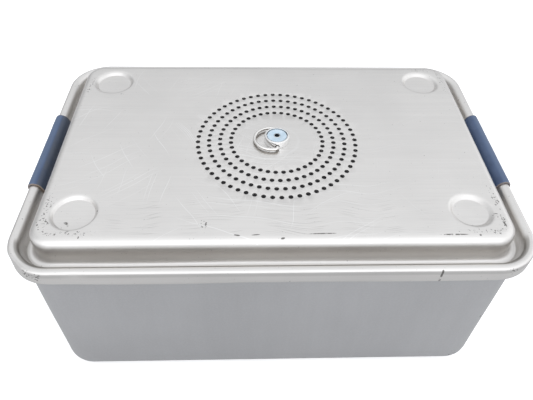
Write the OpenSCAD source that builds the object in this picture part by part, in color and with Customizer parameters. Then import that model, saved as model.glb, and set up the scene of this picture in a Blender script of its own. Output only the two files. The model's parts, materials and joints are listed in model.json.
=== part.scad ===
/* [Box] */
// Outside width of the tub, left to right
tub_w = 304; // [240:1:400]
// Outside depth of the tub, front to back
tub_d = 200; // [170:1:300]
// Height of the closed box, from its feet to the top of the lid
box_h = 138; // [115:1:220]
// Outside radius of the tub's four upright corners
corner_r = 22; // [20:0.5:40]
// Thickness of the drawn aluminium sheet
sheet_t = 1.5; // [1:0.1:1.6]
// Outside radius round the tub's bottom edge
bottom_r = 10; // [6:0.5:14]
// How far the pressed feet stand below the tub's floor
foot_h = 2; // [1:0.1:2.2]
// Radius of a pressed foot where it meets the floor
foot_r = 12.5; // [10:0.5:13]

/* [Lid pressing] */
// How far the raised middle of the lid stands inside the tub's wall
plateau_inset = 8; // [7:0.5:9]
// Radius along the top edge of the raised middle
plateau_edge_r = 6; // [4:0.5:7]
// Depth of the groove round the raised middle, below the lid's top
groove_depth = 18.5; // [17.5:0.5:19]
// Width from the wall of the raised middle to the outside of the skirt
rim_w = 15; // [14.5:0.1:15.5]
// Radius over the crown of the rim bead
crown_r = 3.2; // [2.8:0.1:3.4]
// Depth from the lid's top to the middle of the crown radius
crown_depth = 12.5; // [12:0.1:13]
// Slope of the bead's inner side, from the horizontal
bead_slope = 56; // [50:1:62]
// Depth from the lid's top to the lower edge of the skirt
skirt_depth = 20; // [19:0.5:21]
// Distance from the raised middle's walls to the centre of a stacking dish
dish_inset = 24; // [22:0.5:30]
// Radius of a stacking dish at the lid's top
dish_r = 15; // [14:0.5:18]
// Depth of a stacking dish
dish_depth = 2.6; // [2.2:0.1:3.5]

/* [Perforated field] */
// How far the field and its stud sit to the right of the lid's middle
field_x = 3.5; // [-6:0.5:6]
// How far they sit behind the lid's middle, less than zero towards the front
field_y = -3; // [-6:0.5:6]
// Diameter of one steam hole
hole_d = 2.9; // [2:0.1:3.2]
// Radius of the innermost ring of holes
ring_r = 31.5; // [31:0.5:34]
// Distance from one ring of holes to the next
ring_step = 7.5; // [7:0.1:8]
// Number of holes in the innermost ring
ring_holes = 39; // [30:1:42]
// How many more holes each ring has than the one inside it
ring_more = 7; // [4:1:8]
// Where each ring has its first hole, in degrees from the right
first_hole = 91; // [0:1:359]

/* [Stud and pull ring] */
// Outside diameter of the stud's cup
cup_d = 17; // [16:0.5:20]
// Height of the cup above the lid
cup_h = 5.2; // [5:0.1:7]
// Diameter of the coloured disc let into the cup
disc_d = 14.4; // [12:0.2:15]
// Diameter of the pull ring's wire
ring_wire_d = 2.3; // [2:0.1:2.5]
// Radius of the pull ring's bow, to the middle of its wire
bow_r = 11.3; // [11:0.1:14]
// Distance from the ring's hinge to the middle of its bow
bow_offset = 4; // [3:0.1:5]
// Height of the ring's hinge above the lid
hinge_h = 1.9; // [1.7:0.1:1.9]

/* [Rim grips] */
// Length of a plastic grip along the rim
grip_l = 73; // [50:1:90]
// Wall thickness of a grip
grip_t = 1.3; // [1:0.1:1.5]

/* [Filter and its retainer] */
// Radius of the filter paper
filter_r = 60; // [59:0.5:64]
// Radius of the stud's threaded shank
shank_r = 3; // [2.5:0.1:3.4]
// Length of the shank below the lid's top
shank_l = 22; // [21:0.5:30]
// Radius of the retainer's knob over its lobes
knob_r = 15; // [12:0.5:22]
// Diameter of a hole in the retainer plate
plate_hole_d = 4; // [3:0.2:5]

/* [Instrument tray] */
// Space between the tray's rim and the tub's inner wall
tray_gap = 9; // [7:0.5:20]
// Height of the tray from its floor to its rim
tray_h = 44; // [35:1:50]
// Height of the tray's silicone feet
tray_foot_h = 4; // [3:0.5:6]
// Thickness of the tray's sheet
tray_t = 1; // [0.8:0.1:1.5]
// Diameter of a hole in the tray's floor
tray_hole_d = 6; // [4:0.5:8]
// Distance between the holes in the tray's floor
tray_pitch = 17; // [14:1:24]
// Number of instrument notches in a silicone rail
rail_notches = 11; // [6:1:12]
// Diameter of the tray handles' wire
handle_wire_d = 3.5; // [3:0.1:4]
// Length of a handle from its hinge to its grip bar
handle_l = 38; // [30:1:45]
// Width of a handle between its two arms
handle_w = 90; // [60:1:110]

/* [Hidden] */
$fn = 48;

// All drawn sections are swept round the same four corner centres.
centre_x = tub_w / 2 - corner_r;
centre_y = tub_d / 2 - corner_r;
eps = 0.02;
arc_steps = 6;

// Lid section, measured outwards from a corner centre.
plateau_r = corner_r - plateau_inset;
rim_r = plateau_r + rim_w;
groove_r = 1.2;
lid_under = box_h - sheet_t;
groove_z = box_h - groove_depth;
crown_z = box_h - crown_depth;
skirt_z = box_h - skirt_depth;
crown_x = rim_r - crown_r;
groove_turn_z = groove_z + groove_r;
slope_l = (crown_z - groove_turn_z + (crown_r + groove_r) * cos(bead_slope)) / sin(bead_slope);
groove_turn_x = crown_x - slope_l * cos(bead_slope) - (crown_r + groove_r) * sin(bead_slope);
fillet_r = min(3, groove_turn_x - plateau_r - 0.1);
grip_short = 1.2;

// Tub rim, which stands in the bead under the gasket.
seal_depth = 3;
flange_z = crown_z - seal_depth;
flare_r = 2;
lip_r = 2.3;
lip_gap = 0.9;
lip_x = rim_r - sheet_t - lip_gap;
lip_l = 3.6;
lip_z = flange_z - lip_l;
gasket_w = 4.4;
gasket_gap = 0.2;
tub_floor_z = foot_h;
dish_x = centre_x + plateau_r - dish_inset;
dish_y = centre_y + plateau_r - dish_inset;

// Stack of pieces under the perforated field.
paper_t = 0.5;
plate_t = 1;
plate_drop = 5.5;
plate_z = lid_under - plate_drop;
plate_rings = 5;
plate_ring_r = 20;
plate_ring_step = 8.5;
plate_ring_holes = 12;
plate_ring_more = 6;
seat_rise = 2;
seat_z = plate_z + plate_t + seat_rise;
hub_r = 9;
hub_seat_r = 13.5;
outer_seat_r = filter_r + 0.5;
plate_rim_r = filter_r + 6;
nut_h = 3.1;
seal_t = 1;
knob_h = 10;
knob_lobes = 6;
spring_h = 1.5;
running_fit = 0.08;
knob_z = plate_z - spring_h - knob_h;
hinge_z = box_h + hinge_h;
pin_in = shank_r + 1.2;
ring_bend_r = 2;
head_r = 5;
head_t = 0.9;
nose_r = 2.3;
socket_af = 3;
recess_depth = 2 * head_t + 0.2;
recess_z = box_h + cup_h - recess_depth;

// Tray in the tub.
tray_z = foot_h + sheet_t + tray_foot_h;
tray_foot_x = dish_x - 40;
tray_foot_y = dish_y - 4;
tray_foot_r = 6;
tray_half_x = tub_w / 2 - sheet_t - tray_gap;
tray_half_y = tub_d / 2 - sheet_t - tray_gap;
tray_corner_r = corner_r - 8;
tray_edge_r = 5;
tray_rim_r = 1.6;
tray_top_z = tray_z + tray_h;
lug_t = 4;
lug_w = 8;
handle_bend_r = 4;
lug_y = handle_w / 2 + handle_bend_r + 0.3 + lug_t / 2;
hinge_x = tray_half_x - 6;
handle_z = tray_top_z - 3;
rail_y = 46;
rail_l = 220;
rail_w = 11;
rail_h = 14;
rail_pitch = rail_l / (rail_notches + 1);
notch_r = 4;

// Points of an arc from one angle to another.
function arc(x, z, r, from, to) =
  [for (i = [0 : arc_steps]) let (a = from + (to - from) * i / arc_steps) [x + r * cos(a), z + r * sin(a)]];

// A list of points in the other direction.
function turned(pts) = [for (i = [len(pts) - 1 : -1 : 0]) pts[i]];

// Upper face of the lid's sheet, or its lower face at an offset of one sheet.
function lid_line(t) = concat(
  [[0, box_h - t]],
  arc(plateau_r - plateau_edge_r, box_h - plateau_edge_r, plateau_edge_r - t, 90, 0),
  arc(plateau_r + fillet_r, groove_z + fillet_r, fillet_r + t, 180, 270),
  arc(groove_turn_x, groove_turn_z, groove_r + t, 270, 270 + bead_slope),
  arc(crown_x, crown_z, crown_r - t, 90 + bead_slope, 0),
  [[rim_r - t, skirt_z]]
);

// Outer face of the tub's sheet, or its inner face at an offset of one sheet.
function tub_line(t) = concat(
  [[0, tub_floor_z + t]],
  arc(corner_r - bottom_r, tub_floor_z + bottom_r, bottom_r - t, 270, 360),
  arc(corner_r + flare_r, flange_z - sheet_t - flare_r, flare_r + t, 180, 90),
  arc(lip_x - lip_r, flange_z - lip_r, lip_r - sheet_t + t, 90, 0),
  [[lip_x - sheet_t + t, lip_z]]
);

// The crown and both sides of the bead, pushed out by t, for the grips.
function bead_line(t) = concat(
  [[crown_x - (crown_r + t) * sin(bead_slope) - (slope_l - grip_short) * cos(bead_slope),
    crown_z + (crown_r + t) * cos(bead_slope) - (slope_l - grip_short) * sin(bead_slope)]],
  arc(crown_x, crown_z, crown_r + t, 90 + bead_slope, 0),
  [[rim_r + t, skirt_z - t]]
);

// Sweeps a section round a rectangle with round corners.
module swept(half_x, half_y, pts) {
  for (k = [0 : 3]) {
    sx = (k == 0 || k == 3) ? 1 : -1;
    sy = (k < 2) ? 1 : -1;
    along = (k % 2 == 0) ? half_y : half_x;
    away = (k % 2 == 0) ? half_x : half_y;
    translate([sx * half_x, sy * half_y, 0])
      rotate([0, 0, 90 * k])
        rotate_extrude(angle = 90)
          polygon(pts);
    rotate([0, 0, 90 * k])
      translate([away, 0, 0])
        rotate([90, 0, 0])
          linear_extrude(2 * along, center = true)
            polygon(pts);
  }
}

// A swept sheet, closed in the middle by a flat plate.
module drawn_pan(half_x, half_y, pts, plate_low, t) {
  swept(half_x, half_y, pts);
  translate([-half_x, -half_y, plate_low])
    cube([2 * half_x, 2 * half_y, t]);
}

// A round pressing in a sheet: a flat pan with sloping, rounded sides.
module dish(top_r, floor_r, depth, t) {
  rotate_extrude()
    polygon([
      [0, -depth], [floor_r, -depth], [floor_r + 1, -depth + 0.4],
      [top_r - 1, -0.4], [top_r, 0], [top_r, -t], [top_r - 0.4, -t - 0.2],
      [floor_r + 1.6, -depth - t + 0.5], [floor_r + 0.3, -depth - t], [0, -depth - t]
    ]);
}

module at_dishes() {
  for (x = [-dish_x, dish_x], y = [-dish_y, dish_y])
    translate([x, y, 0])
      children();
}

module at_field() {
  translate([field_x, field_y, 0])
    children();
}

module tub_shell() {
  color("lightgray")
    union() {
      difference() {
        drawn_pan(centre_x, centre_y, concat(tub_line(0), turned(tub_line(sheet_t))), tub_floor_z, sheet_t);
        at_dishes()
          translate([0, 0, -eps])
            cylinder(h = foot_h + sheet_t + 1, r = foot_r - 0.01);
      }
      at_dishes()
        translate([0, 0, tub_floor_z + sheet_t])
          dish(foot_r, foot_r - 3, foot_h, sheet_t);
    }
}

module lid_shell() {
  color("silver")
    difference() {
      union() {
        difference() {
          drawn_pan(centre_x, centre_y, concat(lid_line(0), turned(lid_line(sheet_t))), lid_under, sheet_t);
          at_dishes()
            translate([0, 0, lid_under - 1])
              cylinder(h = sheet_t + 2, r = dish_r - 0.01);
        }
        at_dishes()
          translate([0, 0, box_h])
            dish(dish_r, dish_r - 3, dish_depth, sheet_t);
      }
      at_field()
        translate([0, 0, lid_under - 1])
          steam_holes();
    }
}

// Four rings of steam holes, and the hole for the stud's screw.
module steam_holes() {
  for (ring = [0 : 3]) {
    count = ring_holes + ring_more * ring;
    for (i = [0 : count - 1])
      rotate([0, 0, 360 * i / count + first_hole])
        translate([ring_r + ring_step * ring, 0, 0])
          cylinder(h = sheet_t + 2, d = hole_d, $fn = 24);
  }
  cylinder(h = sheet_t + 2, r = shank_r + running_fit);
}

module lid_gasket() {
  color("whitesmoke")
    swept(centre_x, centre_y, [
      [rim_r - sheet_t - gasket_gap - gasket_w, flange_z], [rim_r - sheet_t - gasket_gap, flange_z],
      [rim_r - sheet_t - gasket_gap, crown_z], [crown_x + 0.9, crown_z + 1.1],
      [crown_x - 0.6, crown_z + 1.1], [crown_x - 1.5, crown_z]
    ]);
}

module rim_grip() {
  pts = concat(bead_line(grip_t), [[rim_r - sheet_t - 0.1, skirt_z - grip_t]],
    [[rim_r - sheet_t - 0.1, skirt_z]], turned(bead_line(0)));
  color("steelblue")
    translate([centre_x, 0, 0])
      rotate([90, 0, 0])
        linear_extrude(grip_l, center = true)
          polygon(pts);
}

module left_rim_grip() {
  rotate([0, 0, 180])
    rim_grip();
}

module right_rim_grip() {
  rim_grip();
}

module stud_cup() {
  color("gainsboro")
    at_field()
      difference() {
        translate([0, 0, box_h])
          rotate_extrude()
            polygon(concat(
              [[shank_r + running_fit, 0], [cup_d / 2, 0]],
              arc(cup_d / 2 - 0.8, cup_h - 0.8, 0.8, 0, 90),
              [[disc_d / 2, cup_h], [disc_d / 2, cup_h - recess_depth],
               [shank_r + running_fit, cup_h - recess_depth]]
            ));
        translate([0, 0, hinge_z])
          rotate([90, 0, 0])
            cylinder(h = cup_d + 2, r = ring_wire_d / 2 + running_fit, center = true);
      }
}

module stud_disc() {
  color("lightblue")
    at_field()
      translate([0, 0, recess_z + head_t])
        difference() {
          cylinder(h = head_t, d = disc_d);
          translate([0, 0, -1])
            cylinder(h = head_t + 2, r = nose_r + 0.05);
        }
}

// Screw with a flat head under the disc, a socketed nose and a long threaded shank.
module stud_screw() {
  color("silver")
    at_field()
      difference() {
        union() {
          translate([0, 0, box_h - shank_l])
            cylinder(h = recess_z - box_h + shank_l, r = shank_r);
          translate([0, 0, recess_z])
            cylinder(h = head_t, r = head_r);
          translate([0, 0, recess_z])
            cylinder(h = recess_depth - 0.1, r = nose_r);
        }
        translate([0, 0, recess_z + 0.5])
          cylinder(h = recess_depth, d = socket_af / cos(30), $fn = 6);
      }
}

module ring_of(outer_r, inner_r, low, high) {
  at_field()
    translate([0, 0, low])
      difference() {
        cylinder(h = high - low, r = outer_r);
        translate([0, 0, -1])
          cylinder(h = high - low + 2, r = inner_r);
      }
}

module stud_seal() {
  color("whitesmoke")
    ring_of(hub_r - 1, shank_r + running_fit, lid_under - seal_t, lid_under);
}

module stud_nut() {
  color("silver")
    at_field()
      translate([0, 0, lid_under - seal_t - nut_h])
        difference() {
          cylinder(h = nut_h, d = 10 / cos(30), $fn = 6);
          translate([0, 0, -1])
            cylinder(h = nut_h + 2, r = shank_r);
        }
}

// A wire bent round a circle, from one angle to another.
module bent_wire(bend_r, wire_d, from, to) {
  rotate([0, 0, from])
    rotate_extrude(angle = to - from)
      translate([bend_r, 0])
        circle(d = wire_d);
}

// Wire bow with two short pins that snap into the cup's cross bores.
module pull_ring() {
  turn_y = bow_r - ring_bend_r;
  color("silver")
    translate([field_x, field_y, hinge_z]) {
      translate([-bow_offset, 0, 0])
        bent_wire(bow_r, ring_wire_d, 90, 270);
      for (flip = [0, 1])
        mirror([0, flip, 0]) {
          translate([-bow_offset, bow_r, 0])
            rotate([0, 90, 0])
              cylinder(h = bow_offset - ring_bend_r, d = ring_wire_d);
          translate([-ring_bend_r, turn_y, 0])
            bent_wire(ring_bend_r, ring_wire_d, 0, 90);
          translate([0, turn_y, 0])
            rotate([90, 0, 0])
              cylinder(h = turn_y - pin_in, d = ring_wire_d);
        }
    }
}

module filter_paper() {
  color("lightsteelblue")
    ring_of(filter_r, hub_r + 0.2, lid_under - paper_t, lid_under);
}

module outer_filter_seal() {
  color("whitesmoke")
    ring_of(plate_rim_r - 1.2, outer_seat_r, seat_z, lid_under);
}

module inner_filter_seal() {
  color("whitesmoke")
    ring_of(hub_seat_r - 0.5, hub_r + 0.5, seat_z, lid_under - paper_t);
}

// Pressed plate: its hub and its rim stand up to carry the two seals.
module retainer_plate() {
  color("silver")
    at_field()
      difference() {
        rotate_extrude()
          polygon([
            [shank_r + 0.4, plate_z], [hub_r - 0.4, plate_z], [hub_r, seat_z - plate_t],
            [hub_seat_r, seat_z - plate_t], [hub_seat_r + 1, plate_z],
            [outer_seat_r - 2, plate_z], [outer_seat_r - 1, seat_z - plate_t],
            [plate_rim_r - plate_t, seat_z - plate_t], [plate_rim_r - plate_t, plate_z],
            [plate_rim_r, plate_z], [plate_rim_r, seat_z + 0.6], [plate_rim_r - plate_t, seat_z + 0.6],
            [plate_rim_r - plate_t, seat_z], [outer_seat_r - 1.6, seat_z],
            [outer_seat_r - 2.6, plate_z + plate_t], [hub_seat_r + 1.6, plate_z + plate_t],
            [hub_seat_r + 0.6, seat_z], [hub_r - 0.6, seat_z],
            [hub_r - 1, plate_z + plate_t], [shank_r + 0.4, plate_z + plate_t]
          ]);
        for (ring = [0 : plate_rings - 1]) {
          count = plate_ring_holes + plate_ring_more * ring;
          for (i = [0 : count - 1])
            rotate([0, 0, 360 * i / count])
              translate([plate_ring_r + plate_ring_step * ring, 0, plate_z - 1])
                cylinder(h = plate_t + 2, d = plate_hole_d, $fn = 16);
        }
      }
}

// Dished spring washer between the knob and the plate.
module retainer_spring() {
  color("gray")
    at_field()
      translate([0, 0, plate_z - spring_h])
        rotate_extrude()
          polygon([
            [shank_r + 0.5, 0], [hub_r - 3, 0], [hub_r - 1.5, spring_h - 0.5],
            [hub_r - 1, spring_h], [hub_r - 2, spring_h], [hub_r - 3.3, 0.5], [shank_r + 0.5, 0.5]
          ]);
}

module retainer_knob() {
  color("dimgray")
    at_field()
      translate([0, 0, knob_z])
        difference() {
          union() {
            cylinder(h = knob_h, r = knob_r * 0.55);
            cylinder(h = knob_h * 0.7, r = knob_r * 0.78);
            for (i = [0 : knob_lobes - 1])
              rotate([0, 0, 360 * i / knob_lobes])
                translate([knob_r * 0.75, 0, 0])
                  cylinder(h = knob_h * 0.7, r = knob_r * 0.25);
          }
          translate([0, 0, -1])
            cylinder(h = knob_h + 2, r = shank_r + running_fit);
        }
}

// Outer face of the tray's sheet, or its inner face at an offset of one sheet.
function tray_line(t) = concat(
  [[0, tray_z + t]],
  arc(tray_corner_r - tray_edge_r, tray_z + tray_edge_r, tray_edge_r - t, 270, 360),
  [[tray_corner_r - t, tray_top_z - 2 * tray_rim_r]]
);

module tray_pan() {
  mid_x = tray_half_x - tray_corner_r;
  mid_y = tray_half_y - tray_corner_r;
  nx = floor((mid_x - tray_pitch / 2) / tray_pitch);
  ny = floor((mid_y - 2) / tray_pitch);
  color("gainsboro")
    difference() {
      drawn_pan(mid_x, mid_y, concat(
        tray_line(0),
        arc(tray_corner_r, tray_top_z - tray_rim_r, tray_rim_r, 270, 450),
        turned(tray_line(tray_t))
      ), tray_z, tray_t);
      for (i = [-nx : nx], j = [-ny : ny])
        translate([i * tray_pitch, j * tray_pitch, tray_z - 1])
          cylinder(h = tray_t + 2, d = tray_hole_d, $fn = 16);
    }
}

module tray_feet() {
  color("royalblue")
    for (x = [-1, 1], y = [-1, 1])
      translate([x * tray_foot_x, y * tray_foot_y, foot_h + sheet_t])
        cylinder(h = tray_foot_h, r = tray_foot_r);
}

// Silicone rail with a row of round notches for instrument handles.
module rail(y) {
  color("royalblue")
    difference() {
      translate([-rail_l / 2, y - rail_w / 2, tray_z + tray_t])
        cube([rail_l, rail_w, rail_h]);
      for (i = [1 : rail_notches])
        translate([-rail_l / 2 + i * rail_pitch, y, tray_z + tray_t + rail_h])
          rotate([90, 0, 0])
            cylinder(h = rail_w + 2, r = notch_r, center = true, $fn = 24);
    }
}

module front_rail() {
  rail(-rail_y);
}

module back_rail() {
  rail(rail_y);
}

// Four lugs on the tray's end walls, with the handles' hinge bores.
module handle_lugs() {
  color("silver")
    for (sx = [-1, 1], sy = [-1, 1])
      difference() {
        translate([sx * (tray_half_x - tray_t - lug_w / 2), sy * lug_y, handle_z - 1])
          cube([lug_w, lug_t, 8], center = true);
        translate([sx * hinge_x, sy * lug_y, handle_z])
          rotate([90, 0, 0])
            cylinder(h = lug_t + 2, r = handle_wire_d / 2 + running_fit, center = true);
      }
}

// Bent wire handle that lies folded inwards over the tray.
module tray_handle() {
  arm_y = handle_w / 2;
  pin_l = lug_t + 2;
  color("silver")
    translate([hinge_x, 0, handle_z])
      for (flip = [0, 1])
        mirror([0, flip, 0]) {
          translate([0, arm_y + handle_bend_r, 0])
            rotate([-90, 0, 0])
              cylinder(h = pin_l, d = handle_wire_d);
          translate([-handle_bend_r, arm_y + handle_bend_r, 0])
            bent_wire(handle_bend_r, handle_wire_d, 270, 360);
          translate([-handle_bend_r, arm_y, 0])
            rotate([0, -90, 0])
              cylinder(h = handle_l - 2 * handle_bend_r, d = handle_wire_d);
          translate([handle_bend_r - handle_l, arm_y - handle_bend_r, 0])
            bent_wire(handle_bend_r, handle_wire_d, 90, 180);
          translate([-handle_l, 0, 0])
            rotate([-90, 0, 0])
              cylinder(h = arm_y - handle_bend_r, d = handle_wire_d);
        }
}

module left_tray_handle() {
  rotate([0, 0, 180])
    tray_handle();
}

module right_tray_handle() {
  tray_handle();
}

tub_shell();
lid_shell();
lid_gasket();
left_rim_grip();
right_rim_grip();
stud_cup();
stud_disc();
stud_screw();
stud_seal();
stud_nut();
pull_ring();
filter_paper();
outer_filter_seal();
inner_filter_seal();
retainer_plate();
retainer_spring();
retainer_knob();
tray_pan();
tray_feet();
front_rail();
back_rail();
handle_lugs();
left_tray_handle();
right_tray_handle();
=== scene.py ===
# %% [markdown]
# # A sterilising container with a perforated lid
# The object is a closed, deep-drawn aluminium box for dental instruments. The
# engineering model is already there: it is loaded as a fixed frame, and every
# piece that we make has to sit where the frame's piece sits. We make finer
# pieces for what shows, and give everything a worn, real finish. Blender starts
# its mesh noise from the clock, so we seed it: each run then makes the same mesh.

# %% Load the frame and keep its size
import json
import math

import bmesh
import bpy
from mathutils import Matrix, Vector, noise

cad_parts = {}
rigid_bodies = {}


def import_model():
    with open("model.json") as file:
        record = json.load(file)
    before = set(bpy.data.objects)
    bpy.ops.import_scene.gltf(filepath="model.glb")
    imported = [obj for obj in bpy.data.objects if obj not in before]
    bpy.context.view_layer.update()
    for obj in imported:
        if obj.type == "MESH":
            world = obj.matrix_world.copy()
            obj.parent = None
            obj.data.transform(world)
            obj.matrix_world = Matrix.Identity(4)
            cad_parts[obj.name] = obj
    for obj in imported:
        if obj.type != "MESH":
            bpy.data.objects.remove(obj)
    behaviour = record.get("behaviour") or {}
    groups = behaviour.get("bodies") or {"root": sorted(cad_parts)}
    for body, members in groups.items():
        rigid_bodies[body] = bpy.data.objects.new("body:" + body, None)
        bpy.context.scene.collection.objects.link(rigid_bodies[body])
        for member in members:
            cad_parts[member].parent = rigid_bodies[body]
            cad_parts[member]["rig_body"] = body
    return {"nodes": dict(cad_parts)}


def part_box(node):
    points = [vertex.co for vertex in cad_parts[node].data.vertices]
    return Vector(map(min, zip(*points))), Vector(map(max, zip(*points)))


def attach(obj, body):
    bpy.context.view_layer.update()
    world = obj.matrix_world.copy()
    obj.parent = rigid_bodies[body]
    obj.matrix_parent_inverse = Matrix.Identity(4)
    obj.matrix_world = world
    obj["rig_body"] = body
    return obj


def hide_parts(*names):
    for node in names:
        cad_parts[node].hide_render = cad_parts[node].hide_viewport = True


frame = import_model()
NOISE_SEED = 1
noise.seed_set(NOISE_SEED)
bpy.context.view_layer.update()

# %% [markdown]
# Sizes are in metres, because Blender's unit is the metre. The outside sizes
# come from the frame, so the looks follow the engineering model if it changes.
# The lid and the tub are both swept round the same four corner centres, which
# is how a press tool is drawn: one section, turned at the corners. Against the
# photograph the engineering model's rim is a little wide, so the bead's outer
# edge is drawn in by an inset here, and its outer bend is tighter.

# %% Sizes that the pieces share
MM = 0.001
SHEET = 1.5 * MM
lid_low, lid_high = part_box("lid_shell")
tub_low, tub_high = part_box("tub_shell")
TOP = lid_high.z
MODEL_RIM_R = 29 * MM
CENTRE_X = lid_high.x - MODEL_RIM_R
CENTRE_Y = lid_high.y - MODEL_RIM_R
BEAD_INSET = 0.9 * MM
RIM_R = MODEL_RIM_R - BEAD_INSET
CORNER_R = 22 * MM
PLATEAU_R = 14 * MM
EDGE_R = 6 * MM
CROWN_R, CROWN_IN_R = 2.3 * MM, 4.5 * MM
CROWN_X = RIM_R - CROWN_R
BEAD_Z = TOP - 12.5 * MM
CROWN_Z = BEAD_Z + BEAD_INSET
CROWN_IN_Z = CROWN_Z + CROWN_R - CROWN_IN_R
SKIRT_Z = lid_low.z
GROOVE_Z = TOP - 18.5 * MM
SLOPE = 70
FIELD = Vector((3.5 * MM, -3 * MM, 0))
print("half sizes to the corner centres:", round(CENTRE_X, 4), round(CENTRE_Y, 4))

# %% [markdown]
# The camera stands in front of the box, above it and a little to the left, and
# looks down on the lid. Its place and angles were worked out from straight
# edges and rings whose real shape is known. Blender's camera looks along its
# own minus Z, so we build its three axes and hand them over as a matrix.

# %% Camera
CAMERA_AT = Vector((-15.7, -273.6, 365.3)) * MM
PITCH, YAW, ROLL = 46.63, 2.83, 1.77
FOCAL_PX, IMAGE_W = 510, 533
SENSOR = 36


def camera_axes(pitch, yaw, roll):
    """Right, up and forward of a camera that looks down by pitch and is turned by yaw and roll."""
    p, y, r = (math.radians(a) for a in (pitch, yaw, roll))
    forward = Vector((math.sin(y) * math.cos(p), math.cos(y) * math.cos(p), -math.sin(p)))
    level = Vector((math.cos(y), -math.sin(y), 0))
    above = level.cross(forward)
    right = math.cos(r) * level + math.sin(r) * above
    up = math.cos(r) * above - math.sin(r) * level
    return right, up, forward


right, up, forward = camera_axes(PITCH, YAW, ROLL)
camera_data = bpy.data.cameras.new("studio_camera")
camera_data.sensor_width = SENSOR
camera_data.lens = FOCAL_PX / IMAGE_W * SENSOR
camera_data.clip_start = 0.01
camera = bpy.data.objects.new("studio_camera", camera_data)
bpy.context.scene.collection.objects.link(camera)
turn = Matrix((right, up, -forward)).transposed().to_4x4()
camera.matrix_world = Matrix.Translation(CAMERA_AT) @ turn
bpy.context.scene.camera = camera
print("lens:", round(camera_data.lens, 2), "mm")

# %% [markdown]
# A drawn sheet is one outer surface with a thickness behind it. We model only
# the outer surface, and Solidify adds the wall at the end. The section of that
# surface is a line made of arcs and straight runs. It is drawn once, and then
# `bmesh.ops.spin` turns it at each corner and `extrude_edge_only` pulls it
# along each side.

# %% Arcs and open lines
def arc(x, z, r, start, end, steps=8):
    """Points of an arc, as pairs of distance outwards and height."""
    turns = [math.radians(start + (end - start) * i / steps) for i in range(steps + 1)]
    return [(x + r * math.cos(a), z + r * math.sin(a)) for a in turns]


def chain(bm, points):
    """A line of vertices joined by edges."""
    verts = [bm.verts.new(p) for p in points]
    edges = [bm.edges.new(pair) for pair in zip(verts, verts[1:])]
    return verts + edges


def pulled(bm, line, step, count):
    """Extrudes a line of edges by count equal steps and gives the last line back."""
    for _ in range(count):
        edges = [e for e in line if isinstance(e, bmesh.types.BMEdge)]
        new = bmesh.ops.extrude_edge_only(bm, edges=edges)["geom"]
        line = [g for g in new if not isinstance(g, bmesh.types.BMFace)]
        bmesh.ops.translate(bm, verts=[v for v in line if isinstance(v, bmesh.types.BMVert)], vec=step)
    return line


# %% [markdown]
# `swept_shell` is the heart of the model. Going round anticlockwise, it pulls
# the section along a side in short steps, so that dents have vertices to move,
# and then spins it by a quarter turn about the corner's centre.

# %% Sweep a section round the box
CORNER_STEPS = 18
SIDE_STEP = 8 * MM


def swept_shell(points):
    """Sweeps an open section round a rectangle with round corners."""
    bm = bmesh.new()
    half_x, half_y = CENTRE_X, CENTRE_Y
    line = chain(bm, [(half_x + x, -half_y, z) for x, z in points])
    sides = [
        (Vector((0, 1, 0)), half_y, (half_x, half_y)),
        (Vector((-1, 0, 0)), half_x, (-half_x, half_y)),
        (Vector((0, -1, 0)), half_y, (-half_x, -half_y)),
        (Vector((1, 0, 0)), half_x, (half_x, -half_y)),
    ]
    for along, half, corner in sides:
        count = round(2 * half / SIDE_STEP)
        line = pulled(bm, line, along * (2 * half / count), count)
        line = bmesh.ops.spin(
            bm, geom=line, cent=(*corner, 0), axis=(0, 0, 1), dvec=(0, 0, 0),
            angle=math.pi / 2, steps=CORNER_STEPS, use_merge=False,
        )["geom_last"]
    bmesh.ops.remove_doubles(bm, verts=bm.verts, dist=0.01 * MM)
    return bm


# %% [markdown]
# Round pressings and turned parts are spun. A hole is a ring of edges that the
# plate is filled round later.

# %% Spun shapes and holes in a flat plate
def spun(bm, points, centre=(0, 0), segments=48):
    """Turns a line of radius and height pairs about an upright axis through centre."""
    before = set(bm.verts)
    line = chain(bm, [(centre[0] + r, centre[1], z) for r, z in points])
    bmesh.ops.spin(
        bm, geom=line, cent=(*centre, 0), axis=(0, 0, 1), dvec=(0, 0, 0),
        angle=2 * math.pi, steps=segments, use_merge=True,
    )
    made = [v for v in bm.verts if v not in before]
    bmesh.ops.remove_doubles(bm, verts=made, dist=0.005 * MM)
    return bm


def circle_edges(bm, x, y, z, r, segments):
    """A ring of edges for a hole."""
    place = Matrix.Translation((x, y, z)) @ Matrix.Rotation(-math.pi / 2, 4, "Z")
    made = bmesh.ops.create_circle(bm, segments=segments, radius=r, matrix=place)["verts"]
    return list(dict.fromkeys(e for v in made for e in v.link_edges))


def open_edges_at(bm, z):
    """Open edges that lie at one height."""
    return [e for e in bm.edges if e.is_boundary and all(abs(v.co.z - z) < 0.01 * MM for v in e.verts)]


# %% [markdown]
# Finished pieces come out of one helper. It applies the modifiers, so that the
# kept mesh is the shape that shows, marks sharp edges by angle, and puts the
# piece on the body that carries it. A sheet piece gets two material slots: the
# faces and the raw edges of a sheet look different, and Solidify can send the
# faces that it makes along open edges to the second slot.

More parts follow.
